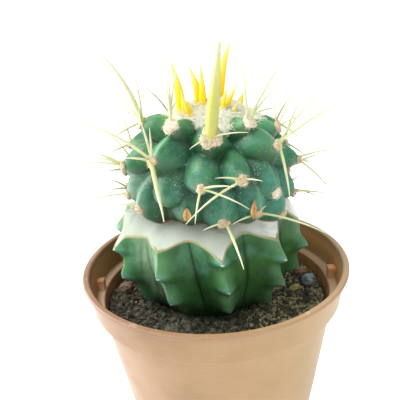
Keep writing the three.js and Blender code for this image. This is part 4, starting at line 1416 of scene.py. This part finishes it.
def areole_pads():
    points, faces, woolly = [], [], []
    felted = [each for each in TUBERCLES if each["name"] not in BARE_TUBERCLES]
    for index, each in enumerate(felted):
        small = AREOLE_RADIUS * (0.85 + 0.3 * math.sin(index * 2.1) ** 2)
        radius = LARGE_AREOLES.get(each["name"], small)
        pad = pad_rings(radius, LARGE_PAD_THICKNESS if radius > small else PAD_THICKNESS, index)
        tufts = [rough(pad + 9 * index + shift, PAD_TUFT, 2) for shift in (0, 5, 11)]
        pad += PAD_ROUGHNESS * np.stack(tufts, axis=1)
        axes = np.stack([each["right"], each["crownward"], each["tip"]])
        centre = each["tip"] * (head_distance(each["tip"][None])[0] - PAD_SINK)
        start = sum(len(block) for block in points)
        points.append(head_to_pot(pad @ axes + centre))
        faces += [tuple(start + corner for corner in face) for face in ringed_faces(PAD_RINGS, PAD_SIDES)]
        woolly += [WOOLLY.get(each["name"], 0.0)] * len(pad)
    return mesh_object("areole_pads", np.concatenate(points), faces, {"woolly": woolly})


def areole_material():
    material, tree, shader, place = new_material("areole felt")
    woolly = attribute_mask(tree, "woolly")
    values = {
        "Place": place,
        "Tips": blend_colours(tree, woolly, (0.72, 0.6, 0.4, 1), (0.92, 0.88, 0.72, 1)),
        "Roots": blend_colours(tree, woolly, (0.46, 0.34, 0.2, 1), (0.62, 0.55, 0.38, 1)),
        "Tuft size": 0.6,
    }
    finish_with(tree, shader, use_effect(tree, FELT, values), 0.25, sheen=0.3)
    return material


AREOLE_FELT = areole_material()
pads = areole_pads()
pads.data.materials.append(AREOLE_FELT)
fibre_values = {
    "Density": 3e6, "Shortest": 0.0003, "Longest": 0.0007, "Thickness": 0.00005, "Bend": 0.6,
    "Seed": 3, "Material": AREOLE_FELT,
}
pad_fibres = grow(FIBRE_RULE, pads, "areole_fibres", fibre_values)
finish_piece(pads, "head")
finish_piece(pad_fibres, "head")

# %% [markdown]
# Two dried scales stand at the foot of the head, just over the cut. Each is a small pointed oval, orange
# brown with a darker rib down its middle and a paler rim.

# %% Dried scales
SCALES = {"left hem": (1.4, 1.9, 2.5, 4.0), "right hem": (-2.7, 2.4, 2.1, 5.6)}  # right, up, width, height
SCALE_THICKNESS = 0.7
SCALE_LIFT = 0.9
SCALE_NARROWING, SCALE_CURL = 0.35, 0.35
SCALE_ROUGHNESS = 0.06
MIDRIB_WIDTH = 0.16


def dried_scale(each, right, up, width, height):
    """One scale: a flattened ball, narrow at its top, that stands upright against the skin."""
    ball, faces = unit_ball(4)
    narrowing = 1 - SCALE_NARROWING * (ball[:, 1] + 0.3)
    across = ball[:, 0] * narrowing * width / 2
    lift = ball[:, 2] * SCALE_THICKNESS / 2 + SCALE_CURL * ball[:, 1] ** 2
    shape = np.column_stack([across, ball[:, 1] * height / 2, lift])
    shape += SCALE_ROUGHNESS * rough(shape + right, 0.6, 2)[:, None]
    outward = each["tip"] * (1, 1, 0) / np.hypot(each["tip"][0], each["tip"][1])
    axes = np.stack([each["right"], np.array([0, 0, 1]), outward])
    foot = each["tip"] * head_distance(each["tip"][None])[0]
    middle = foot + right * each["right"] + up * axes[1] + SCALE_LIFT * outward
    midrib = np.exp(-((ball[:, 0] / MIDRIB_WIDTH) ** 2))
    edge = smooth_step(0.7, 0.95, np.abs(ball[:, 0]))
    name = "dried_scale_" + each["name"].replace(" ", "_")
    points = head_to_pot(shape @ axes + middle)
    return mesh_object(name, points, faces, {"midrib": midrib, "edge": edge})


def scale_material():
    material, tree, shader, place = new_material("dried scale")
    grain = cloud(tree, place, 0.5, 4.0)
    body = blend_colours(tree, ramp(tree, grain, 0.35, 0.65), (0.36, 0.17, 0.04, 1), (0.6, 0.35, 0.11, 1))
    ribbed = laid_over(tree, body, (0.16, 0.06, 0.015, 1), attribute_mask(tree, "midrib"), 0.8)
    edged = laid_over(tree, ribbed, (0.72, 0.6, 0.38, 1), attribute_mask(tree, "edge"), 0.8)
    finish_material(tree, shader, edged, ramp(tree, grain, 0.3, 0.7, 0.6, 0.85), grain, 0.1)
    return material


DRIED_SCALE = scale_material()
for each in TUBERCLES:
    if each["name"] in SCALES:
        finish_piece(dried_scale(each, *SCALES[each["name"]]), "head", DRIED_SCALE)

# %% [markdown]
# ## Spines
# A spine is a needle that leaves its areole, bows a little and tapers to a point. The reach of each one
# in view was read from the photograph; those of the back follow a rule. Young ones are yellow-green at
# the root and straw coloured at the tip. Each path carries its width, and the spine rule thickens it.

# %% Reaches of the pale spines
# Millimetres to the right, to the back and up from the areole, then the width
FRONT_SPINES = {
    "left shoulder": [(-10, -2, 19.6, 1.8), (-0.5, -4, 6.5, 0.8), (-9, 6, 9, 0.8)],
    "left crown": [(-2.2, 4, 15.5, 0.8), (-0.5, 6, 16.6, 0.8), (2.1, 8, 17.3, 0.7)],
    "middle crown": [(1.8, -3, 23.9, 4.4), (-5, -4.5, -1.5, 0.7), (9, -3, 2, 0.7)],
    "right crown": [(-2, 2, 18.8, 0.9), (0, -4, 6, 0.7), (11.9, 6, 18.3, 0.9), (9.5, 3, 10.8, 0.8)],
    "right shoulder": [(5.6, 6, 8.4, 0.8), (10, 2, 4, 0.7)],
    "right front": [
        (21.1, 4, 12.2, 1), (14.5, 8, 14.7, 0.8), (2.9, -4.5, -14.2, 1.1),
        (4.5, -3, 3.5, 0.7),
    ],
    "right edge": [(13.2, 2, 2, 0.8), (5, -2, -0.2, 0.7), (12, 0, -11.3, 0.8)],
    "left front": [
        (-17.3, -3, 11.1, 1.1), (-2.3, -5, 11.1, 1), (0.1, -5, 9.8, 0.8),
        (-6.8, -4, 1.8, 0.9), (3.1, -5.5, -14.8, 1.7),
    ],
    "left edge": [(-10.5, 0, 4.2, 0.8), (-11.5, -2, 2.6, 0.8), (-17.5, 2, -0.1, 0.9)],
    "middle left": [(7.8, -4, 2, 0.8), (-1.6, -4, -7.4, 0.9), (11.6, -5, -3.5, 0.8)],
    "middle right": [(-6.9, -4, 2.1, 0.8), (4.1, -4, 1.1, 0.7), (-14.7, -6, -9.2, 0.9)],
    "right low": [(4.5, 0, 0.2, 0.7), (13.1, 2, -2.1, 0.8)],
    "left low": [(-16.6, 0, -3.9, 0.9)],
    "middle hem": [(3.6, -13.5, -6.7, 1.2), (-5.1, -4, -0.2, 0.8)],
    "right hem": [(-7.5, -4, -1, 0.8), (1.1, -4, 3.6, 0.7), (18.8, -4, -5, 0.9)],
    "left skirt": [(-9, -2, 2.2, 0.7)],
}
BACK_SPINE_COUNT = 3
BACK_SHORTEST, BACK_LONGEST = 8, 17
BACK_WIDTH = 0.9
BACK_SPREAD, SPREAD_SHARES = 62, (0.8, 0.3)  # the least share of the spread and its random gain
CLOCK_JITTER = 20
LOWEST_SLOPE = 0.1


def back_fan(each, draw):
    """A fan of spines round an areole at the back, bent clear of the rootstock on the low tiers."""
    turn = next(draw) * 360
    fan = []
    for index in range(BACK_SPINE_COUNT):
        clock = math.radians(turn + index * 360 / BACK_SPINE_COUNT + CLOCK_JITTER * next(draw))
        spread = math.radians(BACK_SPREAD * (SPREAD_SHARES[0] + SPREAD_SHARES[1] * next(draw)))
        sideways = math.cos(clock) * each["right"] + math.sin(clock) * each["crownward"]
        outward = math.cos(spread) * each["tip"] + math.sin(spread) * sideways
        if each["tip"][2] < 0:
            outward[2] = max(outward[2], LOWEST_SLOPE)
        fan.append((outward * (BACK_SHORTEST + (BACK_LONGEST - BACK_SHORTEST) * next(draw)), BACK_WIDTH))
    return fan


def spine_foot(each, reach):
    """A spine leaves its areole on the side that it points to."""
    sideways = reach - (reach @ each["tip"]) * each["tip"]
    sideways /= np.linalg.norm(sideways)
    base = each["tip"] * (head_distance(each["tip"][None])[0] + 0.2)
    return base + 0.5 * AREOLE_RADIUS * sideways


def pale_spines():
    """Foot, reach and width of every pale spine, in the head's own axes."""
    draw = seeded_random(29)
    spines = []
    for each in TUBERCLES:
        if each["name"] == "back":
            fan = back_fan(each, draw)
        else:
            fan = [(np.array(spine[:3], float), spine[3]) for spine in FRONT_SPINES.get(each["name"], [])]
        spines += [(spine_foot(each, reach), reach, width) for reach, width in fan]
    return spines


print("pale spines:", len(pale_spines()))

# %% Spine paths
SINK = 1.3
BOW = 0.06
KINK = 0.02
FRESH_WIDTHS = (1.2, 3)  # between these widths the root of a spine turns from straw to green
PATH_STEPS = 9
FULL_MIDDLE = 0.25  # how much fuller the middle of a spine is than an even taper
RING_PACE = 150.0  # radians of the growth rings over a spine's length


def spine_path(foot, reach, kink):
    """Points along a spine: sunk into its areole at the root, bowed upwards, with a slight kink."""
    length = np.linalg.norm(reach)
    along = reach / length
    side = np.cross([0, 0, 1], along)
    side = side / np.linalg.norm(side) if np.linalg.norm(side) > 0.2 else np.array([1.0, 0, 0])
    upper = np.cross(along, side)
    share = np.linspace(0, 1, PATH_STEPS)[:, None]
    line = foot + along * (length * share - SINK * (1 - share))
    bow = upper * (length * BOW * 4) * share * (1 - share)
    return line + bow + side * (kink * length * np.sin(math.pi * share * 1.5) * share)


def path_object(name, spines, goldness, width_share):
    """One mesh of loose paths. Each point carries its width, its tint and how fresh and green it is."""
    points, edges, width, tint, fresh, gold = [], [], [], [], [], []
    for foot, reach, thickness in spines:
        start = len(points)
        points += list(head_to_pot(spine_path(foot, reach, KINK * rng.standard_normal())))
        edges += [(start + step, start + step + 1) for step in range(PATH_STEPS - 1)]
        fullness = 1 + FULL_MIDDLE * np.sin(math.pi * np.linspace(0, 1, PATH_STEPS))
        width += list(thickness * width_share * MM * fullness)
        tint += [float(rng.random())] * PATH_STEPS
        fresh += [float(smooth_step(*FRESH_WIDTHS, thickness))] * PATH_STEPS
        gold += [goldness] * PATH_STEPS
    mesh = bpy.data.meshes.new(name)
    mesh.from_pydata((np.array(points) * MM).tolist(), edges, [])
    carry(mesh, {"width": width, "tint": tint, "fresh": fresh, "golden": gold})
    return in_scene(name, mesh)


def spine_material():
    """Horn: yellow-green at the root and straw at the tip, or golden where it is young, with rings."""
    material, tree, shader, place = new_material("spine horn")
    along = attribute_mask(tree, "along")
    golden = attribute_mask(tree, "golden")
    fresh = attribute_mask(tree, "fresh")
    pale_root = blend_colours(tree, fresh, (0.5, 0.56, 0.26, 1), (0.42, 0.44, 0.025, 1))
    pale_tip = blend_colours(tree, fresh, (0.66, 0.71, 0.46, 1), (0.52, 0.58, 0.25, 1))
    root = blend_colours(tree, golden, pale_root, (0.95, 0.66, 0.0, 1))
    tip = blend_colours(tree, golden, pale_tip, (0.85, 0.78, 0.2, 1))
    pale_from = ramp(tree, maths(tree, "MAXIMUM", golden, fresh), 0.0, 1.0, 0.2, 0.42)
    whitening = maths(tree, "SUBTRACT", along, pale_from)
    young = blend_colours(tree, ramp(tree, whitening, 0.0, 0.5), root, tip)
    straw = laid_over(tree, young, (0.72, 0.68, 0.5, 1), attribute_mask(tree, "tint"), 0.5)
    aged = blend_colours(tree, ramp(tree, golden, 0.0, 1.0), straw, young)
    streaks = cloud(tree, place, 0.5, 4.0)
    colour = blend_colours(tree, ramp(tree, streaks, 0.35, 0.6, 0.2, 0.0), aged, (0.45, 0.34, 0.1, 1))
    rings = maths(tree, "SINE", times(tree, along, RING_PACE))
    height = maths(tree, "ADD", times(tree, rings, 0.3), streaks)
    finish_material(tree, shader, colour, ramp(tree, streaks, 0.3, 0.7, 0.4, 0.6), height, 0.04, shine=0.2)
    return material


SPINE_HORN = spine_material()
spine_values = {"Steps": 14, "Sides": 8, "Tip share": 0.22, "Taper": 1.8, "Material": SPINE_HORN}
pale_paths = path_object("pale spine paths", pale_spines(), 0.0, 0.72)
pale = grow(SPINE_RULE, pale_paths, "pale_spines", spine_values)
bpy.data.objects.remove(pale_paths)
finish_piece(pale, "head")

# %% [markdown]
# ## Crown wool and golden spines
# The growing point is hidden under off-white wool, out of which the youngest spines rise, golden yellow
# with pale tips. The wool is a low mound with a wavy edge, rough at the surface and thick with fibres.

# %% The wool mound
WOOL_OFFSET = np.array([1.2, 1, 0])
WOOL_RADIUS = 14
WOOL_TOP = 18.4
WOOL_EDGE = 13.2
WOOL_BASE = 11.4
WOOL_SIDES = 96
WOOL_RING_SHARES = (0.8, 0.95, 1.0, 0.97, 0.93, 0.88, 0.78, 0.68, 0.58, 0.48, 0.38, 0.28, 0.18, 0.08)
TUFT_HEIGHT, TUFT_SIZE = 0.45, 2.2
CURL_HEIGHT, CURL_SIZE = 0.2, 0.7
WOOL_LOBES = ((5, 1.1), (8, 0.6))


def wool_height(share):
    return WOOL_EDGE + (WOOL_TOP - WOOL_EDGE) * (1 - share**2)


def wool_ring(share, height):
    azimuth = np.arange(WOOL_SIDES) * 360 / WOOL_SIDES
    wave = sum(far * np.cos(np.radians(count * azimuth)) for count, far in WOOL_LOBES)
    return level(azimuth) * ((WOOL_RADIUS + wave) * share)[:, None] + WOOL_OFFSET + [0, 0, height]


def wool_mesh():
    heights = [WOOL_BASE, WOOL_BASE + 0.6] + [wool_height(share) for share in WOOL_RING_SHARES[2:]]
    rings = [wool_ring(share, height) for share, height in zip(WOOL_RING_SHARES, heights)]
    points = np.concatenate([[WOOL_OFFSET + [0, 0, WOOL_BASE]], *rings, [WOOL_OFFSET + [0, 0, WOOL_TOP]]])
    lumps = TUFT_HEIGHT * rough(points, TUFT_SIZE) + CURL_HEIGHT * rough(points + 30, CURL_SIZE, 2)
    points[:, 2] += lumps * (points[:, 2] > WOOL_BASE + 1)
    return mesh_object("wool_mound", head_to_pot(points), ringed_faces(len(rings), WOOL_SIDES))


def wool_material():
    material, tree, shader, place = new_material("crown wool")
    values = {"Place": place, "Tips": (1.0, 1.0, 0.88, 1), "Roots": (0.78, 0.78, 0.58, 1), "Tuft size": 1.2}
    finish_with(tree, shader, use_effect(tree, FELT, values), 0.2, sheen=0.4)
    return material


CROWN_WOOL = wool_material()
wool = wool_mesh()
wool.data.materials.append(CROWN_WOOL)
fibre_values = {
    "Density": 4e6, "Shortest": 0.0008, "Longest": 0.0022, "Thickness": 0.00006, "Bend": 0.8,
    "Seed": 8, "Material": CROWN_WOOL,
}
wool_fibres = grow(FIBRE_RULE, wool, "wool_fibres", fibre_values)
finish_piece(wool, "crown_wool")
finish_piece(wool_fibres, "crown_wool")

# %% Golden spines
# Foot to the right and to the back of the head's middle, then the reach and the width
GOLDEN_SPINES = [
    (-8.8, -1.8, (-3.1, 2, 16.2), 2.8),
    (-5.8, -6, (-3.4, -1, 7.2), 2),
    (-7.3, -4.3, (-1.4, 0, 8.2), 1.8),
    (-3.3, 0.4, (-3, 1, 12.3), 2.6),
    (-2.2, -3.2, (-0.6, 2, 13.4), 2),
    (2.9, 4.2, (3.4, 2, 19), 3.2),
    (3.6, -5.2, (1.5, 1, 8.3), 1.4),
    (4.6, -3.6, (3.7, 1, 8.1), 1.5),
    (9.2, 3.6, (1.1, 0, 5.7), 2.2),
    (6.8, -5.4, (0.8, 0, 3.8), 1.5),
]
GOLDEN_SINK = 1.2


def golden_spine(x, y, reach, width):
    share = math.hypot(x - WOOL_OFFSET[0], y - WOOL_OFFSET[1]) / WOOL_RADIUS
    return np.array([x, y, wool_height(share) - GOLDEN_SINK]), np.array(reach, float), width


golden_list = [golden_spine(*spine) for spine in GOLDEN_SPINES]
golden_paths = path_object("golden spine paths", golden_list, 1.0, 1.0)
golden_values = {**spine_values, "Tip share": 0.08, "Taper": 2}
young_spines = grow(SPINE_RULE, golden_paths, "golden_spines", golden_values)
bpy.data.objects.remove(golden_paths)
finish_piece(young_spines, "crown_wool")

# %% [markdown]
# ## Soil
# The potting mix is dark and crumbly, with pale grit, mostly at the right, and brown fibres. The bed is
# a finely rippled surface. The grit rule lays clods, crumbs and grit on it, and the fibre rule plants a
# few dry roots.

# %% The soil bed
SOIL_RELIEF = 0.8
BROAD_WAVE = 6.5
FINE_WAVE = 3.1
SOIL_GAP = 0.35
BED_FLOOR = 3 + SOIL_GAP
BED_SHOULDER = SOIL_LEVEL - 6
BED_RINGS, BED_SIDES = 70, 200
RIPPLE_HEIGHT, RIPPLE_SIZE = 0.7, 3.2


def soil_height(x, y):
    """Broad and fine waves over a bed that climbs a little to both sides and to the back."""
    broad = np.sin(x / BROAD_WAVE + 0.6) * np.cos(y / (BROAD_WAVE + 1))
    fine = np.sin((x - 0.84 * y) / FINE_WAVE)
    climb = 0.03 * np.abs(x) + 0.02 * y
    return SOIL_LEVEL + SOIL_RELIEF * (0.9 * broad + 0.5 * fine) + climb - 0.6


def inner_radius(height):
    return body_radius(height) - WALL - SOIL_GAP


def bed_ring(radius, height=None):
    points = level(np.arange(BED_SIDES) * 360 / BED_SIDES) * radius
    ripples = RIPPLE_HEIGHT * rough(points, RIPPLE_SIZE, 4)
    points[:, 2] = soil_height(points[:, 0], points[:, 1]) + ripples if height is None else height
    return points


def soil_bed():
    top_radius = inner_radius(SOIL_LEVEL - 3)
    rings = [bed_ring(inner_radius(BED_FLOOR) - 0.5, BED_FLOOR)]
    rings.append(bed_ring(inner_radius(BED_SHOULDER), BED_SHOULDER))
    rings += [bed_ring(top_radius * (1 - ring / BED_RINGS)) for ring in range(BED_RINGS)]
    ends = np.array([[0, 0, BED_FLOOR]]), np.array([[0, 0, float(soil_height(0, 0))]])
    points = np.concatenate([ends[0], *rings, ends[1]])
    return mesh_object("soil_bed", points, ringed_faces(len(rings), BED_SIDES))


bed = soil_bed()
print("soil bed:", len(bed.data.polygons), "faces")

# %% Where crumbs may lie
STOCK_CLEARANCE = 20.5  # radius round the rootstock's foot that crumbs keep clear of
LOWEST_GROUND = SOIL_LEVEL - 4
CRUMB_REACH = 34.8  # radius round the pot's axis within which crumbs lie
CLOD_REACH = 31.5  # the same for clods and roots, which reach further out
RIGHT_PART = 8
LEFT_PART, LEFT_BACK = -17, 16


def strewing_ground(name, keep):
    """A copy of the open part of the bed, limited to where keep says that this kind of crumb lies."""
    shape = bmesh.new()
    shape.from_mesh(bed.data)
    lost = [face for face in shape.faces if not keep(face.calc_center_median() / MM)]
    bmesh.ops.delete(shape, geom=lost, context="FACES")
    return tool_object(name, shape)


def in_the_open(point):
    from_stock = math.hypot(point.x - STOCK_FOOT[0], point.y - STOCK_FOOT[1])
    from_axis = math.hypot(point.x, point.y)
    return point.z > LOWEST_GROUND and from_stock > STOCK_CLEARANCE and from_axis < CRUMB_REACH


def clear_of_wall(point):
    return in_the_open(point) and math.hypot(point.x, point.y) < CLOD_REACH


def at_the_right(point):
    return in_the_open(point) and point.x > RIGHT_PART


def at_the_left(point):
    return in_the_open(point) and point.x < LEFT_PART and point.y < LEFT_BACK


def soil_material(name, body, pits, flecks, variety):
    """Soil crumbs: each one takes its own share between the body colour and a second one."""
    material, tree, shader, place = new_material(name)
    values = {
        "Place": place,
        "Body": blend_colours(tree, attribute_mask(tree, "shade"), body, variety),
        "Pits": pits,
        "Flecks": flecks,
        "Grain size": 0.5,
    }
    finish_with(tree, shader, use_effect(tree, GRAIN, values), 0.15)
    return material


DARK_SOIL = soil_material(
    "dark potting mix", (0.05, 0.055, 0.033, 1), (0.011, 0.012, 0.008, 1), (0.18, 0.18, 0.11, 1),
    (0.12, 0.115, 0.07, 1),
)
PALE_GRIT = soil_material(
    "pale grit", (0.5, 0.48, 0.28, 1), (0.18, 0.16, 0.085, 1), (0.7, 0.68, 0.45, 1), (0.28, 0.25, 0.13, 1),
)
BARK_FINES = soil_material(
    "bark fines", (0.05, 0.033, 0.018, 1), (0.014, 0.01, 0.006, 1), (0.12, 0.085, 0.05, 1),
    (0.09, 0.07, 0.04, 1),
)

# %% Strewing the crumbs


def strew(name, keep, density, smallest, largest, seed, material):
    """Lays one kind of crumb. Sizes are in millimetres."""
    ground = strewing_ground(name + " ground", keep)
    values = {
        "Density": density, "Smallest": smallest * MM, "Largest": largest * MM, "Seed": seed,
        "Material": material,
    }
    crumbs = grow(GRIT_RULE, ground, name, values, smooth=False)
    bpy.data.objects.remove(ground)
    finish_piece(crumbs, "soil")


# Where each kind lies, how many on a square metre, its smallest and largest size, its seed and material
CRUMBS = {
    "dark_clods": (clear_of_wall, 1.3e5, 0.9, 2.0, 12, DARK_SOIL),
    "dark_crumbs": (in_the_open, 9e5, 0.3, 1.0, 2, DARK_SOIL),
    "fine_crumbs": (in_the_open, 1.2e6, 0.15, 0.45, 4, BARK_FINES),
    "pale_grit_right": (at_the_right, 3.4e6, 0.25, 0.7, 5, PALE_GRIT),
    "pale_grit_spread": (in_the_open, 1.6e5, 0.2, 0.55, 6, PALE_GRIT),
    "bark_fines_left": (at_the_left, 8e5, 0.3, 0.95, 7, BARK_FINES),
}
finish_piece(bed, "soil", DARK_SOIL)
for name, sizes in CRUMBS.items():
    strew(name, *sizes)


def plant_fibres():
    """Dry root fibres that arch out of the soil at the left."""
    ground = strewing_ground("fibre ground", lambda point: at_the_left(point) and clear_of_wall(point))
    values = {
        "Density": 3e5, "Shortest": 0.0011, "Longest": 0.0019, "Thickness": 0.0002, "Bend": 1.9,
        "Seed": 21, "Material": BARK_FINES,
    }
    fibres = grow(FIBRE_RULE, ground, "root_fibres", values)
    bpy.data.objects.remove(ground)
    finish_piece(fibres, "soil")


plant_fibres()

# %% [markdown]
# ## Loose bits
# Three pebbles and a chip of bark lie on the soil beside the wall. Each is a ball worn uneven by two
# scales of noise, flattened and turned as its solid is.

# %% Loose bits
BIT_LIFT = 0.55
BIT_TILT = 0.15  # radians
BIT_SHARE = 0.97  # of the solid's size, which leaves room for the wear
DENT_DEPTH, DENT_SIZE = 0.09, 0.6  # shares of the bit's size
PIT_DEPTH, PIT_SIZE = 0.03, 0.15
BITS = {
    "pebble_blue_grey": ((31.8, 3), (2.6, 2.5, 2.4)),
    "pebble_tan": ((30, 9.2), (2.6, 2.2, 1.8)),
    "pebble_brown": ((-30.8, 4.5), (3, 2.6, 2)),
    "bark_chip_yellow": ((26.6, 0.4), (2.2, 1.4, 0.9)),
}
BIT_COLOURS = {
    "pebble_blue_grey": ((0.27, 0.34, 0.38, 1), (0.09, 0.12, 0.15, 1), (0.5, 0.58, 0.63, 1)),
    "pebble_tan": ((0.3, 0.19, 0.11, 1), (0.12, 0.07, 0.035, 1), (0.5, 0.36, 0.22, 1)),
    "pebble_brown": ((0.16, 0.1, 0.055, 1), (0.06, 0.035, 0.02, 1), (0.34, 0.24, 0.15, 1)),
    "bark_chip_yellow": ((0.45, 0.45, 0.12, 1), (0.2, 0.18, 0.05, 1), (0.62, 0.6, 0.3, 1)),
}


def loose_bit(name, at, size, seed):
    ball, faces = unit_ball(5)
    dents = DENT_DEPTH * rough(ball + 7 * seed, DENT_SIZE)
    worn = 1 + dents + PIT_DEPTH * rough(ball + 3 * seed, PIT_SIZE, 2)
    shape = ball * worn[:, None] * BIT_SHARE * np.array(size)
    tilt = np.array(Matrix.Rotation(BIT_TILT, 3, "X"))
    turn = np.array(Matrix.Rotation(at[1], 3, "Z"))
    middle = np.array([at[0], at[1], float(soil_height(*at)) + BIT_LIFT * size[2]])
    return mesh_object(name + "_fine", shape @ tilt.T @ turn.T + middle, faces)


def bit_material(name):
    material, tree, shader, place = new_material(name.replace("_", " "))
    body, pits, flecks = BIT_COLOURS[name]
    values = {"Place": place, "Body": body, "Pits": pits, "Flecks": flecks, "Grain size": 0.6}
    finish_with(tree, shader, use_effect(tree, GRAIN, values), 0.12)
    return material


for seed, (name, (at, size)) in enumerate(BITS.items(), start=1):
    finish_piece(loose_bit(name, at, size, seed), name, bit_material(name))

# %% [markdown]
# ## Floor
# The pot stands on a plain light table. Far behind it the sheet curves up into a wall, so that no
# horizon shows. It glows a little from below, which keeps the ground white under soft lamps.

# %% Floor
FLOOR_GLOW = 0.5
FLOOR_REACH = 2500
SWEEP_START = 1500
SWEEP_RADIUS = 1000
SWEEP_STEPS = 16


def floor_material():
    material, tree, shader, place = new_material("pale floor")
    tint = blend_colours(tree, cloud(tree, place, 300.0), (0.91, 0.91, 0.91, 1), (0.94, 0.94, 0.94, 1))
    tree.links.new(tint, shader.inputs["Base Color"])
    shader.inputs["Roughness"].default_value = 0.9
    shader.inputs["Emission Color"].default_value = (1, 1, 1, 1)
    shader.inputs["Emission Strength"].default_value = FLOOR_GLOW
    return material


def sweep_profile():
    """How far back and how high the paper lies: flat, then a quarter round, then upright."""
    profile = [(-FLOOR_REACH, 0.0)]
    for turn in np.linspace(0, math.pi / 2, SWEEP_STEPS):
        profile.append((SWEEP_START + SWEEP_RADIUS * math.sin(turn), SWEEP_RADIUS * (1 - math.cos(turn))))
    return profile + [(SWEEP_START + SWEEP_RADIUS, FLOOR_REACH)]


def floor_sheet():
    profile = sweep_profile()
    points = [(side * FLOOR_REACH, back, height) for back, height in profile for side in (-1, 1)]
    faces = [(2 * row, 2 * row + 1, 2 * row + 3, 2 * row + 2) for row in range(len(profile) - 1)]
    return mesh_object("floor", points, faces)


floor = floor_sheet()
floor.data.materials.append(floor_material())
print("floor:", len(floor.data.polygons), "faces")

# %% [markdown]
# ## End

# %% End
print("scene built")
